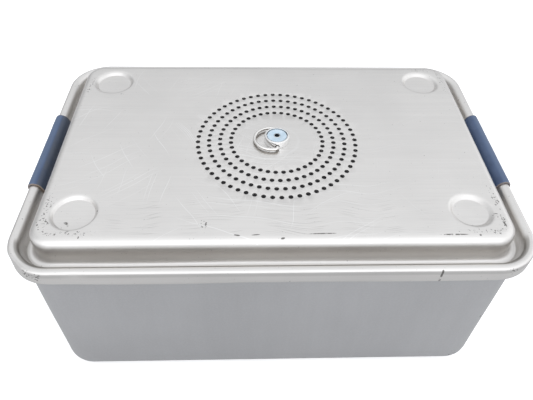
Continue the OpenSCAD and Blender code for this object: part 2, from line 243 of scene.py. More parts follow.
# %% Turn a bmesh into a finished piece
def piece(name, bm, body, replaced=(), wall=None, bevel=None, sharp=38):
    """Makes a mesh object, applies its modifiers and rides it on a body."""
    mesh = bpy.data.meshes.new(name)
    bm.to_mesh(mesh)
    bm.free()
    obj = bpy.data.objects.new(name, mesh)
    bpy.context.scene.collection.objects.link(obj)
    if wall:
        mesh.materials.append(None)
        mesh.materials.append(None)
        solid = obj.modifiers.new("wall", "SOLIDIFY")
        solid.material_offset_rim = 1
        solid.thickness = wall
        solid.offset = -1
        solid.use_even_offset = True
    if bevel:
        soft = obj.modifiers.new("soft_edges", "BEVEL")
        soft.width = bevel
        soft.segments = 2
        soft.limit_method = "ANGLE"
        soft.angle_limit = math.radians(50)
    if obj.modifiers:
        ready = obj.evaluated_get(bpy.context.evaluated_depsgraph_get())
        final = bpy.data.meshes.new_from_object(ready)
        obj.modifiers.clear()
        obj.data = final
        final.name = name
        bpy.data.meshes.remove(mesh)
    for face in obj.data.polygons:
        face.use_smooth = True
    obj.data.set_sharp_from_angle(angle=math.radians(sharp))
    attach(obj, body)
    if replaced:
        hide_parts(*replaced)
    print(name, "has", len(obj.data.polygons), "faces")
    return obj


# %% [markdown]
# The lid's section, from the flat top outwards: a radius down the raised wall,
# a small fillet, the groove, the slope of the bead, its crown and the skirt.
# The crown is wider on its inner side than on its outer one, so it is two arcs
# that meet at the top. The lowest turn is worked out from the slope, so that all
# the arcs stay tangent.

# %% Section of the lid
FILLET_R = 3 * MM
GROOVE_R = 1.2 * MM
slope_angle = math.radians(SLOPE)
groove_turn_z = GROOVE_Z + GROOVE_R
both_r = CROWN_IN_R + GROOVE_R
slope_length = (CROWN_IN_Z - groove_turn_z + both_r * math.cos(slope_angle)) / math.sin(slope_angle)
groove_turn_x = CROWN_X - slope_length * math.cos(slope_angle) - both_r * math.sin(slope_angle)


def between(a, b, parts):
    """Points that divide a straight run, without its ends."""
    return [tuple(a[k] + (b[k] - a[k]) * i / parts for k in (0, 1)) for i in range(1, parts)]


def crown_line(t=0.0):
    """The two arcs over the bead, pushed out by t."""
    inner = arc(CROWN_X, CROWN_IN_Z, CROWN_IN_R + t, 90 + SLOPE, 90, 10)
    return inner + arc(CROWN_X, CROWN_Z, CROWN_R + t, 90, 0, 8)[1:]


def lid_section():
    edge = arc(PLATEAU_R - EDGE_R, TOP - EDGE_R, EDGE_R, 90, 0, 10)
    foot = arc(PLATEAU_R + FILLET_R, GROOVE_Z + FILLET_R, FILLET_R, 180, 270, 6)
    turn_up = arc(groove_turn_x, groove_turn_z, GROOVE_R, 270, 270 + SLOPE, 5)
    crown = crown_line()
    skirt = [(RIM_R, SKIRT_Z)]
    return (
        edge + between(edge[-1], foot[0], 5) + foot + turn_up
        + between(turn_up[-1], crown[0], 3) + crown + between(crown[-1], skirt[0], 4) + skirt
    )


print("points in the lid's section:", len(lid_section()))

# %% [markdown]
# The top plate closes the sweep. Its outline is the open loop that the sweep
# leaves, and the holes are rings of edges inside it. `triangle_fill` fills the
# space between them. The plate is then cut into strips both ways, so that it
# can be given the slight waviness of thin sheet.

# %% Fill a plate round its holes
GRID_SHIFT = 0.37 * MM
MERGE = 0.004 * MM


def fill_plate(bm, loops, z, step=9 * MM):
    """Fills the flat space between loops of edges and cuts it into a fine grid."""
    bmesh.ops.triangle_fill(bm, edges=loops, use_beauty=True, use_dissolve=False)
    for axis, half in ((0, CENTRE_X), (1, CENTRE_Y)):
        count = int(half / step)
        for i in range(-count, count + 1):
            at, normal = Vector((0, 0, z)), Vector((0, 0, 0))
            at[axis] = i * step + GRID_SHIFT
            normal[axis] = 1
            faces = [f for f in bm.faces if all(abs(v.co.z - z) < 0.001 * MM for v in f.verts)]
            flat = list(dict.fromkeys(g for f in faces for g in (f, *f.edges, *f.verts)))
            bmesh.ops.bisect_plane(bm, geom=flat, dist=0.0002 * MM, plane_co=at, plane_no=normal)


# %% [markdown]
# The perforation is four rings of round holes about the stud. Each ring has
# seven holes more than the ring inside it, and all start from one line towards
# the back, which is what makes the pattern fan out like petals. The dishes in
# the corners take the feet of a second box. Their edge is rolled wide and soft,
# because the press stretches the sheet there, and their floor meets the side in
# a tight corner. No two look alike in the photograph, so each has its own width
# and slope: its radius at the top, its angle and the radius of its shoulder.
# They are spun before the plate is filled, and the plate then grows out from
# their open edges, so that a cut through the plate is shared by both.

# %% Steam holes and stacking dishes
HOLE_R, HOLE_SIDES = 1.58 * MM, 16
SCREW_HOLE_R, SCREW_HOLE_SIDES = 3.1 * MM, 24
RING_R, RING_STEP = 31.5 * MM, 7.5 * MM
RING_HOLES, RING_MORE = 39, 7
FIRST_HOLE = 91
DISH_DEPTH = 2.6 * MM
DISH_INSET = 24 * MM
DISH_X = CENTRE_X + PLATEAU_R - DISH_INSET
DISH_Y = CENTRE_Y + PLATEAU_R - DISH_INSET
CORNERS = [(x, y) for x in (-DISH_X, DISH_X) for y in (-DISH_Y, DISH_Y)]
DISHES = [
    (15.2 * MM, 58, 2.4 * MM),
    (15.9 * MM, 50, 3.2 * MM),
    (14.8 * MM, 41, 3 * MM),
    (15.4 * MM, 47, 3.2 * MM),
]


def steam_hole_places():
    places = []
    for ring in range(4):
        count = RING_HOLES + RING_MORE * ring
        for i in range(count):
            a = math.radians(360 * i / count + FIRST_HOLE)
            r = RING_R + RING_STEP * ring
            places.append((FIELD.x + r * math.cos(a), FIELD.y + r * math.sin(a)))
    return places


def dish_section(z, top_r, depth, steep=47, shoulder=3 * MM, corner=0.5 * MM):
    """A shallow round pressing: a wide rolled shoulder, a sloping side, a tight corner and a flat floor."""
    s, c = math.sin(math.radians(steep)), math.cos(math.radians(steep))
    run = (depth - (shoulder + corner) * (1 - c)) * c / s
    floor_r = top_r - (shoulder + corner) * s - run
    rolled = arc(top_r, z - shoulder, shoulder, 90, 90 + steep, 7)
    foot = arc(floor_r, z - depth + corner, corner, 270 + steep, 270, 4)
    return rolled + between(rolled[-1], foot[0], 2) + foot + [(floor_r * 0.55, z - depth), (0, z - depth)]


print("steam holes:", len(steam_hole_places()))

# %% [markdown]
# Years of use leave the rim slightly wavy and knocked at its corners. A dent is
# a smooth push: vertices near a point move along a direction, most at the
# middle and not at all past its radius. A slow noise adds the waviness.

# %% Dents and waviness
def push(bm, centre, radius, move):
    """Moves the vertices near a point, fading out smoothly."""
    centre, move = Vector(centre), Vector(move)
    for v in bm.verts:
        t = (v.co - centre).length / radius
        if t < 1:
            v.co += move * (1 - t * t) ** 2


def waviness(bm, amount, size, seed, weight):
    """Moves every vertex sideways by slow noise, scaled by a weight of its place."""
    shift = Vector((seed, 0, 0))
    for v in bm.verts:
        w = weight(v.co)
        if w > 0:
            v.co += noise.noise_vector(v.co / size + shift) * amount * w


# %% Lid shell
def lid_shell():
    bm = swept_shell(lid_section())
    for (x, y), (top_r, steep, shoulder) in zip(CORNERS, DISHES):
        spun(bm, dish_section(TOP, top_r, DISH_DEPTH, steep, shoulder), (x, y))
    loops = open_edges_at(bm, TOP)
    for x, y in steam_hole_places():
        loops += circle_edges(bm, x, y, TOP, HOLE_R, HOLE_SIDES)
    loops += circle_edges(bm, FIELD.x, FIELD.y, TOP, SCREW_HOLE_R, SCREW_HOLE_SIDES)
    fill_plate(bm, loops, TOP)
    bmesh.ops.remove_doubles(bm, verts=bm.verts, dist=MERGE)
    bmesh.ops.dissolve_degenerate(bm, dist=MERGE, edges=bm.edges)
    bmesh.ops.recalc_face_normals(bm, faces=bm.faces)
    bm.faces.ensure_lookup_table()
    highest = max(bm.faces, key=lambda f: (round(f.calc_center_median().z, 6), f.calc_area()))
    if highest.normal.z < 0:
        bmesh.ops.reverse_faces(bm, faces=bm.faces)
    waviness(bm, 0.5 * MM, 45 * MM, 3.0, lambda co: max(0, (CROWN_Z - co.z) / (CROWN_Z - SKIRT_Z)) ** 1.5)
    waviness(bm, 0.16 * MM, 60 * MM, 8.0, lambda co: 1 if co.z > TOP - 4 * MM else 0)
    push(bm, (-CENTRE_X - 20 * MM, -CENTRE_Y - 20 * MM, CROWN_Z), 11 * MM, (0.7 * MM, 0.9 * MM, -0.7 * MM))
    push(bm, (-CENTRE_X + 14 * MM, -CENTRE_Y - 29 * MM, CROWN_Z + 1 * MM), 8 * MM, (0, 0.5 * MM, -0.5 * MM))
    return piece("lid_pressing", bm, "lid", ("lid_shell",), wall=SHEET, bevel=0.16 * MM)


lid = lid_shell()

# %% [markdown]
# The tub is the same idea turned over: a floor with four pressed feet, a large
# bottom radius, a straight wall, and a flange that rolls outwards under the lid.

# %% Tub shell
FOOT_H = 2 * MM
BOTTOM_R = 10 * MM
FLANGE_Z = tub_high.z
FLARE_R, LIP_R = 1.6 * MM, 2 * MM
LIP_X = tub_high.x - CENTRE_X - BEAD_INSET
TUB_FLOOR = tub_low.z + FOOT_H
FOOT_R = 12.5 * MM


def tub_section():
    bottom = arc(CORNER_R - BOTTOM_R, TUB_FLOOR + BOTTOM_R, BOTTOM_R, 270, 360, 12)
    flare = arc(CORNER_R + FLARE_R, FLANGE_Z - SHEET - FLARE_R, FLARE_R, 180, 90, 5)
    lip_outer_r = LIP_R - SHEET
    lip = arc(LIP_X - LIP_R, FLANGE_Z - LIP_R, lip_outer_r, 90, 0, 4)
    return bottom + between(bottom[-1], flare[0], 14) + flare + lip + [(LIP_X - SHEET, FLANGE_Z - 3.6 * MM)]


def tub_shell():
    bm = swept_shell(tub_section())
    for x, y in CORNERS:
        spun(bm, dish_section(TUB_FLOOR, FOOT_R, FOOT_H), (x, y))
    fill_plate(bm, open_edges_at(bm, TUB_FLOOR), TUB_FLOOR, 14 * MM)
    bmesh.ops.remove_doubles(bm, verts=bm.verts, dist=MERGE)
    bmesh.ops.dissolve_degenerate(bm, dist=MERGE, edges=bm.edges)
    bmesh.ops.recalc_face_normals(bm, faces=bm.faces)
    bm.faces.ensure_lookup_table()
    lowest = min(bm.faces, key=lambda f: (round(f.calc_center_median().z, 6), -f.calc_area()))
    if lowest.normal.z > 0:
        bmesh.ops.reverse_faces(bm, faces=bm.faces)
    middle = (TUB_FLOOR + FLANGE_Z) / 2
    reach = (FLANGE_Z - TUB_FLOOR) / 2
    waviness(bm, 0.7 * MM, 70 * MM, 5.0, lambda co: max(0, 1 - abs(co.z - middle) / reach) ** 0.5 * 0.8)
    return piece("tub_pressing", bm, "tub", ("tub_shell",), wall=SHEET, bevel=0.2 * MM)


tub = tub_shell()

# %% [markdown]
# Each grip is a plastic sleeve that wraps the bead. Its section is the bead's
# own line pushed out by the sleeve's wall, closed on the inside. It is a face
# that is pulled along the rim in short steps, and its edges are rounded after.

# %% Rim grips
GRIP_T = 1.3 * MM
grip_low, grip_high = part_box("right_rim_grip")
GRIP_L = grip_high.y - grip_low.y
GRIP_STEPS = 14
GRIP_GAP, SKIRT_GAP = 0.12 * MM, 0.15 * MM


def bead_line(t):
    """The bead's inner slope, crown and skirt, pushed out by t."""
    c, s = math.cos(slope_angle), math.sin(slope_angle)
    down = slope_length - 1.2 * MM
    start = (CROWN_X - (CROWN_IN_R + t) * s - down * c, CROWN_IN_Z + (CROWN_IN_R + t) * c - down * s)
    crown = crown_line(t)
    end = (RIM_R + t, SKIRT_Z - GRIP_T)
    return [start] + between(start, crown[0], 3) + crown + between(crown[-1], end, 3) + [end]


def rim_grip(side, name, node):
    bm = bmesh.new()
    outer = bead_line(GRIP_T)
    inner = bead_line(GRIP_GAP)[::-1]
    inside = RIM_R - SHEET
    loop = outer + [(inside, SKIRT_Z - GRIP_T), (inside, SKIRT_Z - SKIRT_GAP)]
    loop += [(RIM_R + GRIP_GAP, SKIRT_Z - SKIRT_GAP)] + inner[1:]
    verts = [bm.verts.new((CENTRE_X + x, -GRIP_L / 2, z)) for x, z in loop]
    face = bm.faces.new(verts)
    for _ in range(GRIP_STEPS):
        made = bmesh.ops.extrude_face_region(bm, geom=[face])["geom"]
        face = next(g for g in made if isinstance(g, bmesh.types.BMFace))
        bmesh.ops.translate(bm, verts=face.verts, vec=(0, GRIP_L / GRIP_STEPS, 0))
    bmesh.ops.delete(bm, geom=[f for f in bm.faces if len(f.verts) > 8][1:-1], context="FACES_ONLY")
    if side < 0:
        bmesh.ops.rotate(bm, verts=bm.verts, cent=(0, 0, 0), matrix=Matrix.Rotation(math.pi, 3, "Z"))
    bmesh.ops.recalc_face_normals(bm, faces=bm.faces)
    waviness(bm, 0.12 * MM, 16 * MM, 2.0 + side, lambda co: 1 if co.z > SKIRT_Z else 0)
    return piece(name, bm, "lid", (node,), bevel=0.3 * MM, sharp=50)


left_grip = rim_grip(-1, "left_grip_sleeve", "left_rim_grip")
right_grip = rim_grip(1, "right_grip_sleeve", "right_rim_grip")

# %% [markdown]
# The stud in the middle of the lid is a polished cup with a coloured disc let
# into it, held down by a screw with a hexagon socket. All three are turned
# parts, so they are spun from their half sections. Holes that run across a
# turned part are drilled last, on the bench and here: a Boolean modifier takes
# a second closed shape away from the first.

# %% Turned pieces and drilling
cup_low, cup_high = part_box("stud_cup")
disc_low, disc_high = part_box("stud_disc")
screw_low, screw_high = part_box("stud_screw")
ring_low, ring_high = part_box("pull_ring")
CUP_R = (cup_high.x - cup_low.x) / 2
CUP_TOP = cup_high.z
CUP_BORE_R = (disc_high.x - disc_low.x) / 2
WIRE_R = (ring_high.z - ring_low.z) / 2 - 0.15 * MM
HINGE_Z = (ring_high.z + ring_low.z) / 2
HEAD_Z = screw_high.z - 1.9 * MM


def turned_blank(points, segments):
    """A closed turned shape about the stud's axis."""
    bm = spun(bmesh.new(), points, (FIELD.x, FIELD.y), segments)
    bmesh.ops.recalc_face_normals(bm, faces=bm.faces)
    return bm


def drill(radius, depth, middle, turn=Matrix.Identity(4), segments=32):
    """A closed rod that stands for the tool."""
    bm = bmesh.new()
    bmesh.ops.create_cone(
        bm, cap_ends=True, segments=segments, radius1=radius, radius2=radius, depth=depth,
        matrix=Matrix.Translation(middle) @ turn,
    )
    return bm


def cut_away(blank, tool):
    """Takes one closed shape away from another and gives the result as a new bmesh."""
    made = []
    for name, shape in (("blank", blank), ("tool", tool)):
        mesh = bpy.data.meshes.new(name)
        shape.to_mesh(mesh)
        shape.free()
        made.append(bpy.data.objects.new(name, mesh))
        bpy.context.scene.collection.objects.link(made[-1])
    cut = made[0].modifiers.new("cut", "BOOLEAN")
    cut.operation, cut.object, cut.solver = "DIFFERENCE", made[1], "EXACT"
    ready = made[0].evaluated_get(bpy.context.evaluated_depsgraph_get())
    result = bmesh.new()
    result.from_mesh(ready.to_mesh())
    ready.to_mesh_clear()
    for obj in made:
        mesh = obj.data
        bpy.data.objects.remove(obj)
        bpy.data.meshes.remove(mesh)
    return result


# %% Stud cup, with the cross hole that the pull ring is hinged in
CROSS_HOLE_R = WIRE_R + 0.45 * MM


def stud_cup():
    rim = arc(CUP_R - 0.6 * MM, CUP_TOP - 0.6 * MM, 0.6 * MM, 0, 90, 6)
    lip = arc(CUP_BORE_R + 0.25 * MM, CUP_TOP - 0.25 * MM, 0.25 * MM, 90, 180, 4)
    foot = arc(CUP_R - 0.35 * MM, TOP + 0.35 * MM, 0.35 * MM, 270, 360, 4)
    half = [(SCREW_HOLE_R, TOP + 0.02 * MM)] + foot + rim + lip
    half += [(CUP_BORE_R, HEAD_Z), (SCREW_HOLE_R, HEAD_Z), (SCREW_HOLE_R, TOP + 0.02 * MM)]
    laid = Matrix.Rotation(math.pi / 2, 4, "X")
    across = drill(CROSS_HOLE_R, 2 * CUP_R + 4 * MM, (FIELD.x, FIELD.y, HINGE_Z), laid)
    bm = cut_away(turned_blank(half, 72), across)
    return piece("polished_stud_cup", bm, "lid", ("stud_cup",), bevel=0.1 * MM)


cup = stud_cup()

# %% [markdown]
# The disc is enamelled, a little smaller than the bore it lies in, and its rim
# is rounded over. The shadow in the gap round it is the dark line that shows
# inside the cup's bright edge.

# %% Coloured disc
DISC_FACE = disc_high.z - 0.15 * MM
DISC_R = CUP_BORE_R - 0.5 * MM
NOSE_R = 2.3 * MM


def coloured_disc():
    edge = arc(DISC_R - 0.4 * MM, DISC_FACE - 0.4 * MM, 0.4 * MM, 90, 0, 6)
    half = [(NOSE_R + 0.06 * MM, disc_low.z), (NOSE_R + 0.06 * MM, DISC_FACE - 0.08 * MM)]
    half += [(NOSE_R + 0.2 * MM, DISC_FACE)] + edge + [(DISC_R, disc_low.z), (NOSE_R + 0.06 * MM, disc_low.z)]
    bm = turned_blank(half, 72)
    return piece("coloured_disc", bm, "lid", ("stud_disc",))


disc = coloured_disc()

# %% [markdown]
# The screw has a real thread, because the knob inside the lid shows it when the
# filter is changed. `spin` makes a helix when it is given a step along the axis
# too: one tooth of the thread goes round and climbs one pitch each turn. At
# both ends the tooth sinks into the core, as it does where a die starts.

# %% Screw with its socket and thread
CORE_R, CREST_R, HEAD_R = 2.55 * MM, 3 * MM, 5 * MM
PITCH = 1 * MM
SOCKET_R = 1.5 * MM / math.cos(math.pi / 6)
THREAD_STEPS = 24


def thread(bm, low, high):
    """Winds a tooth about the stud's axis between two heights."""
    turns = int((high - low) / PITCH) - 1
    root_r = CORE_R - 0.05 * MM
    tooth = [(root_r, 0), (CREST_R, 0.4), (CREST_R, 0.55), (root_r, 0.95), (root_r, 0)]
    before, old = set(bm.faces), set(bm.verts)
    line = chain(bm, [(FIELD.x + r, FIELD.y, low + share * PITCH) for r, share in tooth])
    bmesh.ops.spin(
        bm, geom=line, cent=FIELD, axis=(0, 0, 1), dvec=(0, 0, PITCH / THREAD_STEPS),
        angle=2 * math.pi * turns, steps=THREAD_STEPS * turns, use_merge=False,
    )
    bmesh.ops.remove_doubles(bm, verts=[v for v in bm.verts if v not in old], dist=0.001 * MM)
    bmesh.ops.holes_fill(bm, edges=[e for e in bm.edges if e.is_boundary], sides=4)
    faces = [f for f in bm.faces if f not in before]
    for v in {v for f in faces for v in f.verts}:
        out = Vector((v.co.x - FIELD.x, v.co.y - FIELD.y, 0))
        grown = min(1, (v.co.z - low) / PITCH, (high - v.co.z) / PITCH)
        r = root_r + (out.length - root_r) * max(0.1, grown)
        v.co = Vector((FIELD.x, FIELD.y, v.co.z)) + out.normalized() * r
    bmesh.ops.recalc_face_normals(bm, faces=faces)


def stud_screw():
    top = DISC_FACE - 0.12 * MM
    half = [(0, screw_low.z), (CORE_R - 0.5 * MM, screw_low.z), (CORE_R, screw_low.z + 0.5 * MM)]
    half += [(CORE_R, TOP - 2 * MM), (CREST_R, TOP - 1.6 * MM), (CREST_R, HEAD_Z), (HEAD_R, HEAD_Z)]
    half += [(HEAD_R, disc_low.z - 0.03 * MM), (NOSE_R, disc_low.z - 0.03 * MM), (NOSE_R, top - 0.15 * MM)]
    half += [(NOSE_R - 0.2 * MM, top), (0, top)]
    socket = drill(SOCKET_R, 2.6 * MM, (FIELD.x, FIELD.y, top), segments=6)
    bm = cut_away(turned_blank(half, 48), socket)
    thread(bm, screw_low.z + 0.4 * MM, TOP - 1.8 * MM)
    return piece("threaded_stud_screw", bm, "lid", ("stud_screw",), sharp=30)


screw = stud_screw()

# %% [markdown]
# The pull ring is hard wire bent into a bow. Its two short ends turn inwards
# and snap into the cup's cross hole, so the ring can lie flat on either side.

# %% Pull ring
BOW_R = (ring_high.y - ring_low.y) / 2 - WIRE_R - 0.15 * MM
BOW_X = FIELD.x - 4 * MM
WIRE_SIDES = 14
PIN_END = 4.2 * MM


def wire_section(bm, centre, axis_a, axis_b):
    """A ring of edges round a wire, to be spun or pulled along its route."""
    verts = []
    for i in range(WIRE_SIDES):
        a = 2 * math.pi * i / WIRE_SIDES
        verts.append(bm.verts.new(centre + axis_a * WIRE_R * math.cos(a) + axis_b * WIRE_R * math.sin(a)))
    return verts + [bm.edges.new((verts[i], verts[(i + 1) % WIRE_SIDES])) for i in range(WIRE_SIDES)]


def pull_ring():
    """Half of the bow is spun and pulled, and the other half is its mirror image."""
    bm = bmesh.new()
    start = Vector((BOW_X - BOW_R, FIELD.y, HINGE_Z))
    line = wire_section(bm, start, Vector((1, 0, 0)), Vector((0, 0, 1)))
    line = bmesh.ops.spin(
        bm, geom=line, cent=(BOW_X, FIELD.y, 0), axis=(0, 0, -1), dvec=(0, 0, 0), angle=math.pi / 2, steps=20
    )["geom_last"]
    bend = 2 * MM
    line = pulled(bm, line, Vector((FIELD.x - bend - BOW_X, 0, 0)), 1)
    corner = (FIELD.x - bend, FIELD.y + BOW_R - bend, 0)
    line = bmesh.ops.spin(
        bm, geom=line, cent=corner, axis=(0, 0, -1), dvec=(0, 0, 0), angle=math.pi / 2, steps=8
    )["geom_last"]
    line = pulled(bm, line, Vector((0, -(BOW_R - bend - PIN_END), 0)), 1)
    bmesh.ops.contextual_create(bm, geom=[g for g in line if isinstance(g, bmesh.types.BMEdge)])
    bmesh.ops.mirror(
        bm, geom=list(bm.verts) + list(bm.edges) + list(bm.faces),
        matrix=Matrix.Translation((0, -FIELD.y, 0)), merge_dist=0.01 * MM, axis="Y",
    )
    bmesh.ops.remove_doubles(bm, verts=bm.verts, dist=0.01 * MM)
    bmesh.ops.recalc_face_normals(bm, faces=bm.faces)
    return piece("wire_pull_ring", bm, "ring", ("pull_ring",), sharp=60)


ring = pull_ring()

# %% [markdown]
# The gasket is a soft ring that fills the bead. Its section is a closed line,
# so the same sweep that made the lid closes into a ring of rubber by itself.

# %% Gasket in the bead
def gasket_ring():
    low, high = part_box("lid_gasket")
    outside = high.x - CENTRE_X - BEAD_INSET
    inside = outside - 4.4 * MM + BEAD_INSET
    section = [
        (inside, low.z), (outside, low.z), (outside, BEAD_Z), (CROWN_X, BEAD_Z + 1.1 * MM),
        (CROWN_X - 0.9 * MM, BEAD_Z + 1.1 * MM), (CROWN_X - 1.7 * MM, BEAD_Z), (inside, low.z),
    ]
    bm = swept_shell(section)
    bmesh.ops.recalc_face_normals(bm, faces=bm.faces)
    return piece("bead_gasket_ring", bm, "lid", ("lid_gasket",), bevel=0.3 * MM)


gasket = gasket_ring()

# %% [markdown]
# The pieces inside are right as they are in the engineering model, down to
# each hole, but their edges are perfectly sharp, and no pressed, cut or moulded
# edge is. So each is copied, its loose triangles are merged and joined into
# whole faces, and a narrow bevel rounds what is left of its edges. The gleam
# along such an edge is most of what tells the eye how thick a piece is.

# %% Round the edges of a piece that the model holds
def rounded(node, name, edge):
    """A copy of a node's mesh in whole faces, with edges rounded to a radius."""
    source = frame["nodes"][node]
    bm = bmesh.new()
    bm.from_mesh(source.data)
    bmesh.ops.remove_doubles(bm, verts=bm.verts, dist=0.002 * MM)
    bmesh.ops.dissolve_limit(
        bm, angle_limit=math.radians(0.6), verts=bm.verts, edges=bm.edges, delimit={"NORMAL"},
    )
    bm.normal_update()
    steep = math.radians(50)
    corners = [e for e in bm.edges if len(e.link_faces) == 2 and e.calc_face_angle(0) > steep]
    bmesh.ops.bevel(
        bm, geom=corners, offset=edge, offset_type="OFFSET", affect="EDGES", segments=2, profile=0.5,
        material=-1, clamp_overlap=True,
    )
    return piece(name, bm, source["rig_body"], (node,))


INNER = {
    "stud_nut": ("hexagon_nut", "stud_steel", 0.25),
    "stud_seal": ("stud_seal_washer", "pale_silicone", 0.15),
    "filter_paper": ("filter_paper_disc", "filter_paper", 0.05),
    "outer_filter_seal": ("outer_seal_ring", "pale_silicone", 0.5),
    "inner_filter_seal": ("inner_seal_ring", "pale_silicone", 0.5),
    "retainer_plate": ("pressed_retainer_plate", "plate_steel", 0.12),
    "retainer_spring": ("dished_spring_washer", "spring_steel", 0.06),
    "retainer_knob": ("lobed_retainer_knob", "knob_plastic", 0.7),
    "tray_pan": ("perforated_tray_pan", "tray_steel", 0.12),
    "tray_feet": ("tray_foot_pads", "blue_silicone", 0.6),
    "front_rail": ("front_instrument_rail", "blue_silicone", 0.8),
    "back_rail": ("back_instrument_rail", "blue_silicone", 0.8),
    "handle_lugs": ("tray_handle_lugs", "tray_steel", 0.4),
    "left_tray_handle": ("left_wire_handle", "tray_steel", 0.3),
    "right_tray_handle": ("right_wire_handle", "tray_steel", 0.3),
}
inner = {node: rounded(node, name, edge * MM) for node, (name, slot, edge) in INNER.items()}

# %% [markdown]
# Materials come next. Every finish here is a small tree of nodes. Writing such
# trees by hand is long, so a thin wrapper adds a node, sets its properties and
# links its inputs in one call, and gives back the socket that the next one
# needs. Whatever is the same all over a surface stays on the shader's socket.

# %% A short way to write node trees
class Finish:
    """A material and the calls that build its node tree."""

    def __init__(self, name, base, metallic, roughness, **sockets):
        self.material = bpy.data.materials.new(name)
        self.material.use_nodes = True
        self.tree = self.material.node_tree
        self.shader = self.tree.nodes["Principled BSDF"]
        self.shader.inputs["Base Color"].default_value = (*base, 1)
        self.shader.inputs["Metallic"].default_value = metallic
        self.shader.inputs["Roughness"].default_value = roughness
        for key, value in sockets.items():
            self.shader.inputs[key.replace("_", " ")].default_value = value
        self.place = self.node("ShaderNodeTexCoord").outputs["Object"]

    def node(self, kind, inputs=(), **properties):
        made = self.tree.nodes.new(kind)
        for key, value in properties.items():
            setattr(made, key, value)
        for key, value in dict(inputs).items():
            if isinstance(value, bpy.types.NodeSocket):
                self.tree.links.new(value, made.inputs[key])
            else:
                made.inputs[key].default_value = value
        return made

    def math(self, operation, a, b=0.0):
        return self.node("ShaderNodeMath", {0: a, 1: b}, operation=operation).outputs[0]

    def vector(self, operation, a, b=(0, 0, 0)):
        made = self.node("ShaderNodeVectorMath", {0: a, 1: b}, operation=operation)
        return made.outputs["Value" if operation in ("LENGTH", "DISTANCE") else "Vector"]

    def along(self, axis):
        """One of the three object coordinates."""
        return self.node("ShaderNodeSeparateXYZ", {"Vector": self.place}).outputs[axis]

    def mapped(self, scale, turn=(0, 0, 0), shift=(0, 0, 0), place=None):
        """Object coordinates shifted, turned and scaled, so that a pattern gets a size and a direction."""
        inputs = {"Vector": place or self.place, "Location": shift, "Rotation": turn}
        moved = self.node("ShaderNodeMapping", inputs)
        return self.node("ShaderNodeMapping", {"Vector": moved.outputs[0], "Scale": scale}).outputs[0]

    def noise(self, place, scale=1.0, detail=2.0, rough=0.5):
        inputs = {"Vector": place, "Scale": scale, "Detail": detail, "Roughness": rough}
        return self.node("ShaderNodeTexNoise", inputs).outputs["Fac"]

    def ramp(self, value, low, high, to_low=0.0, to_high=1.0):
        """A smooth step from one value to another."""
        inputs = {"Value": value, "From Min": low, "From Max": high, "To Min": to_low, "To Max": to_high}
        return self.node("ShaderNodeMapRange", inputs, interpolation_type="SMOOTHSTEP").outputs["Result"]

    def band(self, value, start, full, end_full, end):
        """A mask that rises from start to full and falls again from end_full to end."""
        return self.math("MULTIPLY", self.ramp(value, start, full), self.ramp(value, end, end_full))

    def mix(self, factor, a, b):
        """A colour mixed from two."""
        made = self.node("ShaderNodeMix", {"Factor": factor}, data_type="RGBA")
        for socket, value in ((made.inputs[6], a), (made.inputs[7], b)):
            if isinstance(value, bpy.types.NodeSocket):
                self.tree.links.new(value, socket)
            else:
                socket.default_value = (*value, 1)
        return made.outputs[2]

    def use(self, socket, value):
        self.tree.links.new(value, self.shader.inputs[socket])

    def bump(self, height, distance, strength=1.0):
        """Turns a height between 0 and 1 into a tilt of the surface, so many metres deep."""
        made = self.node("ShaderNodeBump", {"Height": height, "Distance": distance, "Strength": strength})
        self.use("Normal", made.outputs["Normal"])


def grey(value, warm=0.0):
    """A grey that leans to yellow when warm is above zero, and to blue when it is below."""
    return (value * (1 + warm), value, value * (1 - warm))


def dress(obj, *materials):
    """Gives a piece its materials, in the order of its slots."""
    obj.data.materials.clear()
    for material in materials:
        obj.data.materials.append(material)


# %% [markdown]
# A scratch is a thin, short line. One way to scatter such lines is a Voronoi
# texture on coordinates that are squeezed hard along one direction: the round
# spot about each cell's centre turns into a sliver. The cell's random colour
# then picks which cells carry a scratch and how strong it is. Several layers
# at different angles, with a little noise added to their place, look random.

# %% Scratches, nicks and stains
def scratches(finish, angle, length, width, share, shift, plane=(0, 0, 0), bend=1.5 * MM):
    """A mask of thin scratches at an angle in degrees. The share says how many cells carry one."""
    inputs = {"Vector": finish.place, "Scale": 22.0, "Detail": 1.0}
    wobble = finish.node("ShaderNodeTexNoise", inputs).outputs["Color"]
    centred = finish.vector("SUBTRACT", wobble, (0.5, 0.5, 0.5))
    bent = finish.vector("ADD", finish.place, finish.vector("MULTIPLY", centred, (bend * 4,) * 3))
    spot = 0.3
    laid = finish.node("ShaderNodeMapping", {"Vector": bent, "Rotation": plane}).outputs[0]
    place = finish.mapped((2 * spot / length, 2 * spot / width, 0), (0, 0, math.radians(angle)), shift, laid)
    cells = finish.node("ShaderNodeTexVoronoi", {"Vector": place, "Scale": 1.0}, voronoi_dimensions="2D")
    line = finish.ramp(cells.outputs["Distance"], spot, spot * 0.35)
    chosen = finish.node("ShaderNodeSeparateColor", {"Color": cells.outputs["Color"]})
    strength = finish.ramp(chosen.outputs["Red"], 1 - share, 1.0, 0.0, 1.0)
    return finish.math("MULTIPLY", line, strength)


def strongest(finish, masks):
    total = masks[0]
    for mask in masks[1:]:
        total = finish.math("MAXIMUM", total, mask)
    return total


def near(finish, places):
    """A mask that is 1 at each of some places and fades out at its radius."""
    return strongest(finish, [
        finish.ramp(finish.vector("DISTANCE", finish.place, (x, y, z)), radius, radius * 0.4)
        for x, y, z, radius in places
    ])


def mark(finish, x, y, length, width, angle=0):
    """A mask of one long mark with pointed ends that lies at an angle from the X axis."""
    moved = finish.vector("SUBTRACT", finish.place, (x, y, 0))
    laid = finish.mapped((2 / length, 2 / width, 0), (0, 0, math.radians(-angle)), place=moved)
    return finish.ramp(finish.vector("LENGTH", laid), 1.15, 0.8)


